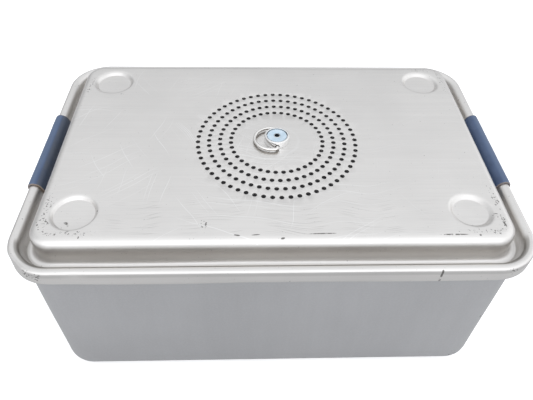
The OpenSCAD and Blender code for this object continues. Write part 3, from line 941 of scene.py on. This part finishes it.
def chips(finish, mask, size, share):
    """Small irregular chips inside a mask. More of the mask is chipped when share is higher."""
    grain = finish.noise(finish.place, 1 / size, 3.0, 0.6)
    level = finish.math("ADD", grain, finish.math("MULTIPLY", mask, share))
    return finish.math("MULTIPLY", finish.ramp(level, 0.7, 0.745), finish.ramp(mask, 0.0, 0.15))


def outwards(finish):
    """Distance outwards from the corner centres, measured as the lid's section is drawn."""
    past = finish.vector("SUBTRACT", finish.vector("ABSOLUTE", finish.place), (CENTRE_X, CENTRE_Y, 0))
    flat = finish.vector("MULTIPLY", finish.vector("MAXIMUM", past, (0, 0, 0)), (1, 1, 0))
    return finish.vector("LENGTH", flat)


# %% [markdown]
# The lid is brushed lengthwise. Its grain is noise that is stretched along X by
# more than a hundred to one. Over it lie pale hairline scratches, most of them on
# the left, and along the front edge a few dark ones.
# Painted shade lies deep in the groove, along the foot of the bead in front, low
# on the raised wall and along the bead's outer flank, and the skirt is painted
# darker in a mottled pattern, partly smudges and partly painted shade. Where the
# corners were knocked, the bare metal has dark pits.

# %% Lid aluminium
LID_WARM = 0.02
# The first three colours are painted shade: in the groove, at the foot of the bead and on the raised wall.
# The pit colour is real wear.
GROOVE_SHADE, BEAD_FOOT_SHADE = (0.15, 0.135, 0.11), (0.14, 0.125, 0.1)
WALL_SHADE, PIT = (0.42, 0.37, 0.3), (0.07, 0.065, 0.06)
FRONT = -CENTRE_Y - PLATEAU_R
LEFT = -CENTRE_X - PLATEAU_R
WORN_CORNERS = [
    (LEFT + 12 * MM, FRONT + 16 * MM, TOP, 42 * MM),
    (-LEFT - 10 * MM, FRONT + 18 * MM, TOP, 40 * MM),
    (-LEFT - 10 * MM, -FRONT - 14 * MM, TOP, 32 * MM),
    (LEFT + 9 * MM, -FRONT - 31 * MM, TOP, 16 * MM),
]
KNOCKS = [
    (LEFT + 8 * MM, FRONT + 16 * MM, TOP, 6 * MM),
    (LEFT + 8 * MM, FRONT + 30 * MM, TOP, 4 * MM),
    (LEFT + 23 * MM, FRONT + 7.6 * MM, TOP, 4 * MM),
    (LEFT + 31 * MM, FRONT + 6.4 * MM, TOP, 4.5 * MM),
    (LEFT + 37 * MM, FRONT + 24 * MM, TOP - 1 * MM, 2.6 * MM),
    (LEFT + 33 * MM, -FRONT - 40 * MM, TOP, 2 * MM),
    (LEFT + 102 * MM, FRONT + 13.5 * MM, TOP, 4.5 * MM),
    (-LEFT - 6.6 * MM, FRONT + 31 * MM, TOP, 4 * MM),
    (-LEFT - 13.6 * MM, FRONT + 6.2 * MM, TOP, 4 * MM),
    (-LEFT - 11 * MM, FRONT + 19 * MM, TOP - 1 * MM, 4 * MM),
    (LEFT + 3 * MM, FRONT - 12 * MM, CROWN_Z - 1 * MM, 6 * MM),
    (LEFT + 8 * MM, FRONT - 12.5 * MM, CROWN_Z - 2 * MM, 5 * MM),
    (-LEFT - 7 * MM, FRONT - 12.5 * MM, CROWN_Z - 1 * MM, 5 * MM),
]
MARKS = [
    (LEFT + 20.8 * MM, FRONT + 17.1 * MM, 3.9 * MM, 1.7 * MM, -33),
    (LEFT + 248 * MM, FRONT + 4.7 * MM, 17 * MM, 0.9 * MM, 0),
    (LEFT + 171 * MM, FRONT + 6 * MM, 16 * MM, 0.8 * MM, 1),
    (LEFT + 121 * MM, FRONT + 5.2 * MM, 4 * MM, 1 * MM, -8),
    (LEFT + 132 * MM, FRONT + 5.4 * MM, 5 * MM, 0.7 * MM, 4),
    (-LEFT - 7.8 * MM, FRONT + 13.5 * MM, 7 * MM, 1.3 * MM, 97),
    (-LEFT - 24.8 * MM, FRONT + 4.3 * MM, 1.4 * MM, 1.2 * MM, 0),
    (LEFT + 147.6 * MM, FRONT + 3.2 * MM, 2.4 * MM, 1.1 * MM, 10),
    (-LEFT - 48.9 * MM, FRONT - 14 * MM, 1.3 * MM, 1.3 * MM, 0),
]


def lid_finish():
    f = Finish("brushed_lid_aluminium", grey(0.74, LID_WARM), 1.0, 0.34, IOR=1.45)
    across, deep, height = f.along("X"), f.along("Y"), f.along("Z")
    clouds = f.noise(f.place, 16.0, 4.0, 0.6)
    grain = f.noise(f.mapped((12, 1500, 1500)), 1.0, 3.0, 0.6)
    streaks = f.noise(f.mapped((6, 210, 210)), 1.0, 4.0, 0.6)
    colour = f.mix(f.ramp(clouds, 0.25, 0.75), grey(0.7, LID_WARM), grey(0.76, LID_WARM))
    colour = f.mix(f.ramp(streaks, 0.25, 0.75, 0.0, 0.4), colour, grey(0.67, LID_WARM))
    colour = f.mix(f.ramp(grain, 0.3, 0.7, 0.0, 0.3), colour, grey(0.82, LID_WARM))

    pale = [
        scratches(f, 8, 90 * MM, 0.6 * MM, 0.14, (0.3, 0.1, 0), bend=3 * MM),
        scratches(f, -34, 60 * MM, 0.5 * MM, 0.1, (0.7, 0.4, 0), bend=3 * MM),
        scratches(f, 58, 40 * MM, 0.5 * MM, 0.08, (0.1, 0.9, 0), bend=3 * MM),
        scratches(f, 104, 34 * MM, 0.5 * MM, 0.07, (0.5, 0.6, 0), bend=3 * MM),
        scratches(f, 22, 110 * MM, 0.6 * MM, 0.09, (0.9, 0.2, 0), bend=5 * MM),
        scratches(f, -9, 140 * MM, 0.65 * MM, 0.09, (0.4, 0.7, 0), bend=4 * MM),
    ]
    worn = near(f, [
        (-85 * MM, 10 * MM, TOP, 95 * MM),
        (-30 * MM, -50 * MM, TOP, 80 * MM),
        (20 * MM, -62 * MM, TOP, 60 * MM),
    ])
    amount = f.math("ADD", f.math("MULTIPLY", worn, 0.5), 0.12)
    amount = f.math("MULTIPLY", amount, f.ramp(height, TOP - 4 * MM, TOP - 3 * MM))
    scratched = f.math("MULTIPLY", strongest(f, pale), amount)
    colour = f.mix(scratched, colour, grey(0.96))

    front = f.math("MULTIPLY", f.band(deep, FRONT + 3 * MM, FRONT + 7 * MM, FRONT + 26 * MM, FRONT + 40 * MM),
                   f.band(across, LEFT + 14 * MM, LEFT + 60 * MM, -LEFT - 80 * MM, -LEFT - 30 * MM))
    front = f.math("MULTIPLY", front, f.ramp(height, TOP - 1 * MM, TOP - 0.4 * MM))
    dark = [
        scratches(f, 3, 26 * MM, 0.34 * MM, 0.35, (0.2, 0.5, 0), bend=3 * MM),
        scratches(f, -5, 14 * MM, 0.3 * MM, 0.3, (0.8, 0.3, 0), bend=4 * MM),
    ]
    hairlines = f.math("MULTIPLY", strongest(f, dark), front)
    broken = f.ramp(f.noise(f.place, 500.0, 3.0, 0.6), 0.36, 0.5)
    dark_marks = f.math("MULTIPLY", strongest(f, [mark(f, *place) for place in MARKS]), broken)
    colour = f.mix(f.math("MULTIPLY", hairlines, 0.55), colour, grey(0.36, 0.03))

    from_stud = f.vector("LENGTH", f.mapped((1, 1, 0), shift=(-FIELD.x, -FIELD.y, 0)))
    rubbed = f.band(from_stud, 13.4 * MM, 14.8 * MM, 15.2 * MM, 16.6 * MM)
    rubbed = f.math("MULTIPLY", rubbed, f.ramp(clouds, 0.35, 0.65, 0.05, 0.3))
    colour = f.mix(rubbed, colour, grey(0.86))

    out = outwards(f)
    # Painted shade deep in the groove, darker on the left and at the sides, broken up by slow noise.
    groove = f.math("MULTIPLY", f.band(out, 17 * MM, 18.4 * MM, 19.6 * MM, 23.5 * MM),
                    f.ramp(height, TOP - 7 * MM, TOP - 9 * MM))
    groove = f.math("MULTIPLY", groove, f.ramp(across, CENTRE_X, -CENTRE_X, 0.2, 0.6))
    at_side = f.ramp(f.math("ABSOLUTE", across), CENTRE_X, CENTRE_X + 8 * MM, 0.6, 1.0)
    painted_groove_shade = f.math("MULTIPLY", f.math("MULTIPLY", groove, at_side), f.ramp(clouds, 0.3, 0.7, 0.7, 1.0))
    # Painted shade, brown, low on the raised wall of the top.
    wall = f.band(height, GROOVE_Z + 2 * MM, GROOVE_Z + 5 * MM, TOP - 9 * MM, TOP - 6 * MM)
    wall = f.math("MULTIPLY", wall, f.ramp(out, 14.6 * MM, 14.1 * MM))
    # The skirt is painted darker in a mottled pattern: smudges, with painted shade over them.
    skirt = f.math("MULTIPLY", f.ramp(out, CROWN_X + 2.6 * MM, CROWN_X + 3.1 * MM),
                   f.ramp(height, CROWN_Z + 0.5 * MM, CROWN_Z - 1.5 * MM))
    mottled = f.ramp(f.noise(f.mapped((60, 60, 160)), 1.0, 4.0, 0.65), 0.3, 0.7, 0.5, 1.0)
    colour = f.mix(f.math("MULTIPLY", painted_groove_shade, 0.6), colour, GROOVE_SHADE)
    colour = f.mix(f.math("MULTIPLY", wall, 0.24), colour, WALL_SHADE)
    # Painted shade: a dark line along the foot of the bead at the front.
    bead_foot_shade = f.math("MULTIPLY", f.band(out, 21.4 * MM, 22.2 * MM, 23.6 * MM, 24.6 * MM),
                       f.ramp(deep, -CENTRE_Y, -CENTRE_Y - 6 * MM))
    colour = f.mix(f.math("MULTIPLY", bead_foot_shade, 0.5), colour, BEAD_FOOT_SHADE)
    colour = f.mix(f.math("MULTIPLY", f.math("MULTIPLY", skirt, mottled), 0.34), colour, grey(0.34, 0.01))
    # Painted shade: a dark line along the bead's outer flank.
    painted_flank_shade = f.math("MULTIPLY", f.ramp(out, CROWN_X + 1.7 * MM, CROWN_X + 2.8 * MM),
                   f.band(height, CROWN_Z - 3 * MM, CROWN_Z - 1 * MM, CROWN_Z + 1.5 * MM, CROWN_Z + 3 * MM))
    colour = f.mix(f.math("MULTIPLY", painted_flank_shade, 0.4), colour, grey(0.25, 0.02))

    everywhere = f.ramp(height, SKIRT_Z, SKIRT_Z + 1 * MM, 1.0, 0.25)
    specks = chips(f, everywhere, 1.5 * MM, 0.05)
    turn_line = PLATEAU_R - 7.2 * MM
    edge_line = f.band(
        out, turn_line - 2.6 * MM, turn_line - 1 * MM, turn_line + 1 * MM, turn_line + 2.2 * MM,
    )
    edge_line = f.math("MULTIPLY", edge_line, f.math("MULTIPLY", near(f, WORN_CORNERS), 0.8))
    knocked = f.math("MAXIMUM", edge_line, near(f, KNOCKS))
    nicks = f.math("MAXIMUM", chips(f, knocked, 1.5 * MM, 0.15), f.math("MULTIPLY", specks, 0.6))
    nicks = f.math("MAXIMUM", nicks, dark_marks)
    colour = f.mix(f.math("MULTIPLY", nicks, 0.8), colour, PIT)
    f.use("Base Color", colour)

    rough = f.math("ADD", f.ramp(clouds, 0.2, 0.8, 0.3, 0.38), f.ramp(grain, 0.2, 0.8, -0.03, 0.05))
    rough = f.math("ADD", rough, f.math("MULTIPLY", scratched, 0.12))
    rough = f.math("ADD", rough, f.math("MULTIPLY", groove, 0.14))
    f.use("Roughness", f.math("ADD", rough, f.math("MULTIPLY", nicks, 0.2)))
    level = f.math("SUBTRACT", f.math("MULTIPLY", grain, 0.4), f.math("MULTIPLY", scratched, 0.4))
    f.bump(f.math("SUBTRACT", level, nicks), 0.05 * MM, 0.5)
    return f.material


def raw_edge_finish():
    """The cut edge of the sheet, and the walls of the punched holes: rough, and painted near-black as shade.
    """
    f = Finish("raw_sheet_edge_painted_shade", (0.02, 0.02, 0.02), 0.0, 0.7)
    tears = f.noise(f.place, 1600.0, 3.0, 0.6)
    # Near-black colour: painted shade on the hole walls and cut edges.
    f.use("Base Color", f.mix(f.ramp(tears, 0.35, 0.75), (0.01, 0.01, 0.01), (0.045, 0.042, 0.038)))
    f.bump(tears, 0.03 * MM, 0.5)
    return f.material


shaded_raw_edge = raw_edge_finish()
dress(lid, lid_finish(), shaded_raw_edge)


# %% [markdown]
# The tub is the same metal with a duller, cooler skin. Deep drawing leaves it
# without a brushed grain, so its streaks are soft and stand upright, along the
# way the sheet was pulled. A few scuffs lie on it. A painted shadow darkens it
# towards the lid, and painted shade makes a narrow dark line at the bottom.

# %% Tub aluminium
TUB_TINT = (0.995, 1.0, 1.022)
TUB_KNOCKS = [
    (-CENTRE_X - 2.5 * MM, -CENTRE_Y - CORNER_R, SKIRT_Z - 3 * MM, 3.2 * MM),
    (CENTRE_X + 6 * MM, -CENTRE_Y - 20 * MM, TUB_FLOOR + 9 * MM, 9 * MM),
    (CENTRE_X + 12 * MM, -CENTRE_Y - 18 * MM, TUB_FLOOR + 60 * MM, 4 * MM),
    (-CENTRE_X + 30 * MM, -CENTRE_Y - 22 * MM, TUB_FLOOR + 5 * MM, 7 * MM),
]


def tub_grey(value):
    return tuple(value * tint for tint in TUB_TINT)


def tub_finish():
    f = Finish("drawn_tub_aluminium", tub_grey(0.56), 1.0, 0.42, IOR=1.45)
    clouds = f.noise(f.place, 11.0, 4.0, 0.6)
    pulled_streaks = f.noise(f.mapped((110, 110, 9)), 1.0, 3.0, 0.6)
    speckle = f.noise(f.place, 700.0, 3.0, 0.7)
    colour = f.mix(f.ramp(clouds, 0.25, 0.75), tub_grey(0.53), tub_grey(0.58))
    colour = f.mix(f.ramp(pulled_streaks, 0.3, 0.7, 0.0, 0.25), colour, tub_grey(0.51))
    colour = f.mix(f.ramp(speckle, 0.35, 0.75, 0.0, 0.25), colour, tub_grey(0.68))
    upright = (math.radians(90), 0, 0)
    layers = [
        scratches(f, 12, 30 * MM, 0.4 * MM, 0.10, (0.4, 0.3, 0), upright),
        scratches(f, -50, 20 * MM, 0.4 * MM, 0.07, (0.8, 0.1, 0), upright),
        scratches(f, 85, 36 * MM, 0.4 * MM, 0.06, (0.2, 0.6, 0), upright),
    ]
    scratched = f.math("MULTIPLY", strongest(f, layers), f.ramp(clouds, 0.4, 0.7, 0.1, 0.6))
    colour = f.mix(f.math("MULTIPLY", scratched, 0.35), colour, tub_grey(0.8))
    nicks = chips(f, near(f, TUB_KNOCKS), 1.8 * MM, 0.13)
    colour = f.mix(f.math("MULTIPLY", nicks, 0.85), colour, (0.06, 0.06, 0.06))
    # Painted shade: a narrow dark line at the bottom, where the tub meets the floor.
    painted_contact_shadow = f.ramp(f.along("Z"), TUB_FLOOR + 2.6 * MM, TUB_FLOOR + 0.8 * MM)
    colour = f.mix(f.math("MULTIPLY", painted_contact_shadow, 0.5), colour, tub_grey(0.2))
    # Painted shadow under the lid's skirt, darkest just below it.
    painted_lid_shadow = f.ramp(f.along("Z"), SKIRT_Z - 8 * MM, SKIRT_Z + 0.5 * MM)
    colour = f.mix(f.math("MULTIPLY", painted_lid_shadow, 0.8), colour, tub_grey(0.3))
    f.use("Base Color", colour)
    rough = f.math("ADD", f.ramp(clouds, 0.2, 0.8, 0.38, 0.46), f.math("MULTIPLY", scratched, 0.12))
    f.use("Roughness", rough)
    height = f.math("SUBTRACT", f.math("MULTIPLY", speckle, 0.5), f.math("ADD", nicks, scratched))
    f.bump(height, 0.04 * MM, 0.5)
    return f.material


dress(tub, tub_finish(), shaded_raw_edge)


# %% [markdown]
# The grips are satin plastic. The crown is rubbed paler and carries a painted
# highlight, the inner slope carries painted shade, most of all on the left one,
# the outer flank is painted darker as shade, and the cut ends show a tan edge.

# %% Blue plastic
def grip_finish():
    f = Finish("blue_grip_plastic", (0.09, 0.14, 0.26), 0.0, 0.42)
    clouds = f.noise(f.place, 60.0, 4.0, 0.6)
    rubs = f.noise(f.mapped((300, 14, 300)), 1.0, 3.0, 0.6)
    out = outwards(f)
    # Paler crown: rubbed wear, with a painted highlight on it.
    crown_wear_and_highlight = f.band(out, CROWN_X - 2.6 * MM, CROWN_X - 0.8 * MM, CROWN_X + 1.6 * MM, CROWN_X + 3.6 * MM)
    colour = f.mix(f.ramp(clouds, 0.3, 0.7), (0.045, 0.08, 0.17), (0.065, 0.11, 0.22))
    crown_wear_and_highlight = f.math("MULTIPLY", crown_wear_and_highlight, f.ramp(rubs, 0.25, 0.75, 0.35, 0.9))
    colour = f.mix(crown_wear_and_highlight, colour, (0.1, 0.145, 0.235))
    # Painted shade on the inner slope, strongest on the left grip.
    slope = f.math("MULTIPLY", f.ramp(out, CROWN_X - 1.4 * MM, CROWN_X - 3.4 * MM),
                   f.ramp(f.along("X"), CENTRE_X, -CENTRE_X, 0.2, 1.0))
    slope = f.math("MULTIPLY", slope, f.ramp(clouds, 0.3, 0.7, 0.5, 0.75))
    colour = f.mix(slope, colour, (0.07, 0.075, 0.078))
    # Painted shade along the outer flank.
    outer_flank_shade = f.ramp(out, CROWN_X + 2.6 * MM, CROWN_X + 3.6 * MM)
    colour = f.mix(f.math("MULTIPLY", outer_flank_shade, 0.75), colour, (0.015, 0.025, 0.06))
    far = f.math("ABSOLUTE", f.along("Y"))
    ends = f.ramp(far, GRIP_L / 2 - 0.6 * MM, GRIP_L / 2 - 0.2 * MM)
    ends = f.math("MULTIPLY", ends, f.ramp(clouds, 0.3, 0.55, 0.4, 0.8))
    colour = f.mix(ends, colour, (0.3, 0.23, 0.17))
    f.use("Base Color", colour)
    f.use("Roughness", f.ramp(rubs, 0.2, 0.8, 0.36, 0.5))
    f.bump(f.noise(f.place, 1400.0, 2.0, 0.6), 0.03 * MM, 0.4)
    return f.material


grip_plastic = grip_finish()
dress(left_grip, grip_plastic)
dress(right_grip, grip_plastic)


# %% [markdown]
# Steel is nearly all reflection, so its colour hardly varies. What makes it
# real is where its gloss changes: fine wear, the lengthwise lines of drawn
# wire, or the turned rings of a spun plate.

# %% Steel, wire and the disc
def steel_finish(name, value, roughness, warm=0.0, scale=700.0, stretch=(1, 1, 1), about_stud=False):
    """Steel with fine wear: stretched for a brushed grain, or about the stud for turned rings."""
    f = Finish(name, grey(value, warm), 1.0, roughness)
    place = f.mapped(stretch)
    if about_stud:
        ring_place = f.vector("LENGTH", f.mapped((1, 1, 0), shift=(-FIELD.x, -FIELD.y, 0)))
        place = f.node("ShaderNodeCombineXYZ", {"X": ring_place, "Z": f.along("Z")}).outputs[0]
    wear = f.noise(place, scale, 3.0, 0.6)
    clouds = f.noise(f.place, 40.0, 3.0, 0.6)
    colour = f.mix(f.ramp(wear, 0.3, 0.7), grey(value * 0.92, warm), grey(min(1, value * 1.05), warm))
    colour = f.mix(f.ramp(clouds, 0.35, 0.75, 0.0, 0.3), colour, grey(value * 0.85, warm + 0.01))
    f.use("Base Color", colour)
    f.use("Roughness", f.ramp(wear, 0.25, 0.75, roughness * 0.8, roughness * 1.35))
    f.bump(wear, 0.01 * MM, 0.4)
    return f.material


def wire_finish():
    """Polished wire, with brown painted shade on its lower half."""
    f = Finish("drawn_wire_steel", grey(0.8, 0.02), 1.0, 0.16)
    lines = f.noise(f.mapped((900, 900, 2500)), 1.0, 3.0, 0.6)
    # Painted shade, brown, on the lower half of the wire.
    under = f.ramp(f.along("Z"), HINGE_Z + 0.55 * MM, HINGE_Z - 0.25 * MM)
    colour = f.mix(f.ramp(lines, 0.3, 0.7), grey(0.76, 0.02), grey(0.86, 0.02))
    f.use("Base Color", f.mix(f.math("MULTIPLY", under, 0.85), colour, (0.2, 0.165, 0.13)))
    f.use("Roughness", f.ramp(lines, 0.25, 0.75, 0.12, 0.24))
    f.bump(lines, 0.01 * MM, 0.3)
    return f.material


def disc_finish():
    f = Finish("pale_blue_disc", (0.5, 0.64, 0.76), 0.0, 0.3, Coat_Weight=0.3)
    grain = f.noise(f.place, 260.0, 4.0, 0.6)
    f.use("Base Color", f.mix(f.ramp(grain, 0.3, 0.7), (0.46, 0.59, 0.7), (0.58, 0.69, 0.79)))
    f.use("Roughness", f.ramp(grain, 0.2, 0.8, 0.26, 0.38))
    f.bump(grain, 0.02 * MM, 0.3)
    return f.material


def screw_finish():
    """Plated steel, with dark, bluish painted shade down in the socket."""
    f = Finish("plated_screw_steel", grey(0.72), 1.0, 0.25)
    wear = f.noise(f.place, 800.0, 3.0, 0.6)
    from_axis = f.vector("LENGTH", f.mapped((1, 1, 0), shift=(-FIELD.x, -FIELD.y, 0)))
    colour = f.mix(f.ramp(wear, 0.3, 0.7), grey(0.62), grey(0.78))
    # Painted shade down in the socket.
    inside = f.math("MULTIPLY", f.ramp(from_axis, 2 * MM, 1.6 * MM), f.ramp(f.along("Z"), TOP, TOP + 1 * MM))
    f.use("Base Color", f.mix(f.math("MULTIPLY", inside, 0.94), colour, (0.04, 0.055, 0.075)))
    f.use("Roughness", f.ramp(wear, 0.25, 0.75, 0.2, 0.34))
    f.bump(wear, 0.01 * MM, 0.4)
    return f.material


dress(cup, steel_finish("polished_steel", 0.84, 0.12))
dress(screw, screw_finish())
dress(ring, wire_finish())
dress(disc, disc_finish())


# %% [markdown]
# Rubber and plastic are the opposite of steel: they scatter light from inside,
# their gloss is broad, and they carry a fine texture from the mould and pale
# dust where nothing rubs. One function makes them all from two tones.

# %% Silicone, plastic and paper
def moulded_finish(name, dark, light, roughness, dust, grain=1100.0):
    f = Finish(name, light, 0.0, roughness)
    clouds = f.noise(f.place, 70.0, 4.0, 0.6)
    fine = f.noise(f.place, grain, 2.0, 0.6)
    colour = f.mix(f.ramp(clouds, 0.3, 0.7), dark, light)
    settled = f.math("MULTIPLY", f.ramp(fine, 0.5, 0.75), dust)
    f.use("Base Color", f.mix(settled, colour, (0.6, 0.6, 0.58)))
    f.use("Roughness", f.ramp(clouds, 0.2, 0.8, roughness * 0.88, roughness * 1.12))
    f.bump(fine, 0.03 * MM, 0.4)
    return f.material


def shaded_filter_finish():
    """Non-woven paper, coloured near-black as painted shade under the holes: short fibres in every direction,
    which show as fine crossing lines.
    """
    f = Finish("filter_paper_painted_shade", (0.03, 0.03, 0.033), 0.0, 0.95)
    fibres = [
        scratches(f, angle, 5 * MM, 0.25 * MM, 0.8, (0.1 * angle, 0.2, 0), bend=1 * MM)
        for angle in (10, 70, 130)
    ]
    cloth = f.math("MULTIPLY", strongest(f, fibres), f.noise(f.place, 300.0, 3.0, 0.6))
    f.use("Base Color", f.mix(cloth, (0.018, 0.018, 0.02), (0.06, 0.06, 0.066)))
    f.bump(cloth, 0.06 * MM, 0.5)
    return f.material


pale_silicone = moulded_finish("pale_silicone", (0.62, 0.6, 0.54), (0.74, 0.72, 0.66), 0.48, 0.05)
blue_silicone = moulded_finish("blue_silicone", (0.03, 0.085, 0.25), (0.045, 0.115, 0.31), 0.5, 0.12)
knob_plastic = moulded_finish(
    "dark_knob_plastic", (0.035, 0.036, 0.04), (0.055, 0.056, 0.06), 0.42, 0.1, grain=1500.0,
)
tray_steel = steel_finish("satin_tray_steel", 0.66, 0.3, 0.01, 1.0, (14, 1100, 1100))
INNER_FINISHES = {
    "stud_nut": steel_finish("bright_nut_steel", 0.74, 0.22),
    "stud_seal": pale_silicone,
    "filter_paper": shaded_filter_finish(),
    "outer_filter_seal": pale_silicone,
    "inner_filter_seal": pale_silicone,
    "retainer_plate": steel_finish("spun_plate_steel", 0.68, 0.26, 0.01, 1300.0, about_stud=True),
    "retainer_spring": steel_finish("blue_spring_steel", 0.5, 0.3, -0.04, 1500.0, about_stud=True),
    "retainer_knob": knob_plastic,
    "tray_pan": tray_steel,
    "tray_feet": blue_silicone,
    "front_rail": blue_silicone,
    "back_rail": blue_silicone,
    "handle_lugs": tray_steel,
    "left_tray_handle": steel_finish("left_handle_wire", 0.76, 0.18, 0.01, 900.0),
    "right_tray_handle": steel_finish("right_handle_wire", 0.76, 0.18, 0.01, 900.0),
}
for node, finish in INNER_FINISHES.items():
    dress(inner[node], finish)
dress(gasket, pale_silicone)
print("finishes:", len(bpy.data.materials))

# %% [markdown]
# The floor is a plain pale sheet. A lit white floor would shine back from the
# tub much more brightly than the dim shelf it stood on, so the floor shows
# itself bright to the camera and greyer to everything that it reflects in.
# Light Path tells the two kinds of ray apart. A part of the grey is its own
# glow, so that the tub's lower wall doesn't mirror the tub's own shadow.

# %% Floor
def pale_floor():
    bm = bmesh.new()
    bmesh.ops.create_grid(bm, x_segments=1, y_segments=1, size=4)
    mesh = bpy.data.meshes.new("pale_floor")
    bm.to_mesh(mesh)
    bm.free()
    floor = bpy.data.objects.new("pale_floor", mesh)
    bpy.context.scene.collection.objects.link(floor)
    f = Finish("pale_floor", (0.62, 0.62, 0.63), 0.0, 0.9)
    seen = f.node("ShaderNodeLightPath").outputs["Is Camera Ray"]
    f.use("Base Color", f.mix(seen, (0.4, 0.4, 0.405), (0.9, 0.9, 0.9)))
    f.use("Emission Strength", f.math("ADD", f.math("MULTIPLY", seen, 0.22), 0.2))
    f.shader.inputs["Emission Color"].default_value = (1, 1, 1, 1)
    floor.data.materials.append(f.material)


pale_floor()

# %% [markdown]
# The light is a soft dome. A metal shows what it reflects, so the dome's tone
# is what paints the box: brightest low down in front, where the rounded front
# edges look, even overhead and behind for the flat top, and dim at the far
# horizon, which draws the dark line along the back edge. The dome's brightness
# is a ramp of the angle from front to back over the zenith. A soft window on the
# right fades in over it and lights every slope that faces that way, and the left
# is dimmer, so that each dish has one bright side and one dark one.

# %% Studio dome
def studio_dome():
    world = bpy.data.worlds.new("studio_dome")
    bpy.context.scene.world = world
    world.use_nodes = True
    tree = world.node_tree
    sky = tree.nodes["Background"]
    place = tree.nodes.new("ShaderNodeTexCoord").outputs["Generated"]
    parts = tree.nodes.new("ShaderNodeSeparateXYZ")
    tree.links.new(place, parts.inputs[0])
    angle = tree.nodes.new("ShaderNodeMath")
    angle.operation = "ARCTAN2"
    tree.links.new(parts.outputs["Y"], angle.inputs[0])
    tree.links.new(parts.outputs["Z"], angle.inputs[1])
    spread = tree.nodes.new("ShaderNodeMapRange")
    spread.inputs["From Min"].default_value = -math.pi / 2
    spread.inputs["From Max"].default_value = math.pi / 2
    tree.links.new(angle.outputs[0], spread.inputs["Value"])
    ramp = tree.nodes.new("ShaderNodeValToRGB")
    ramp.color_ramp.interpolation = "EASE"
    stops = [(-90, 1.35), (-70, 1.6), (-48, 1.6), (-28, 1.32), (-10, 1.08), (40, 1.0), (62, 0.8), (90, 0.35)]
    elements = ramp.color_ramp.elements
    while len(elements) < len(stops):
        elements.new(0.5)
    for element, (degrees, value) in zip(elements, stops):
        element.position = (degrees + 90) / 180
        element.color = (*(value / 2 * c for c in (0.985, 1.0, 1.02)), 1)
    tree.links.new(spread.outputs[0], ramp.inputs[0])
    window = tree.nodes.new("ShaderNodeMix")
    window.data_type = "RGBA"
    window.inputs[7].default_value = (0.63, 0.64, 0.65, 1)
    tree.links.new(ramp.outputs[0], window.inputs[6])
    sides = [(window.inputs["Factor"], 0.48, 0.8, 0.0, 0.9), (sky.inputs["Strength"], -0.9, -0.4, 1.55, 2.0)]
    for socket, *reach in sides:
        fade = tree.nodes.new("ShaderNodeMapRange")
        fade.interpolation_type = "SMOOTHSTEP"
        for key, value in zip(("From Min", "From Max", "To Min", "To Max"), reach):
            fade.inputs[key].default_value = value
        tree.links.new(parts.outputs["X"], fade.inputs["Value"])
        tree.links.new(fade.outputs[0], socket)
    tree.links.new(window.outputs[2], sky.inputs["Color"])
    print("dome stops:", stops)


studio_dome()
bpy.context.scene.view_settings.view_transform = "Standard"

# %% Finish
bpy.context.view_layer.update()
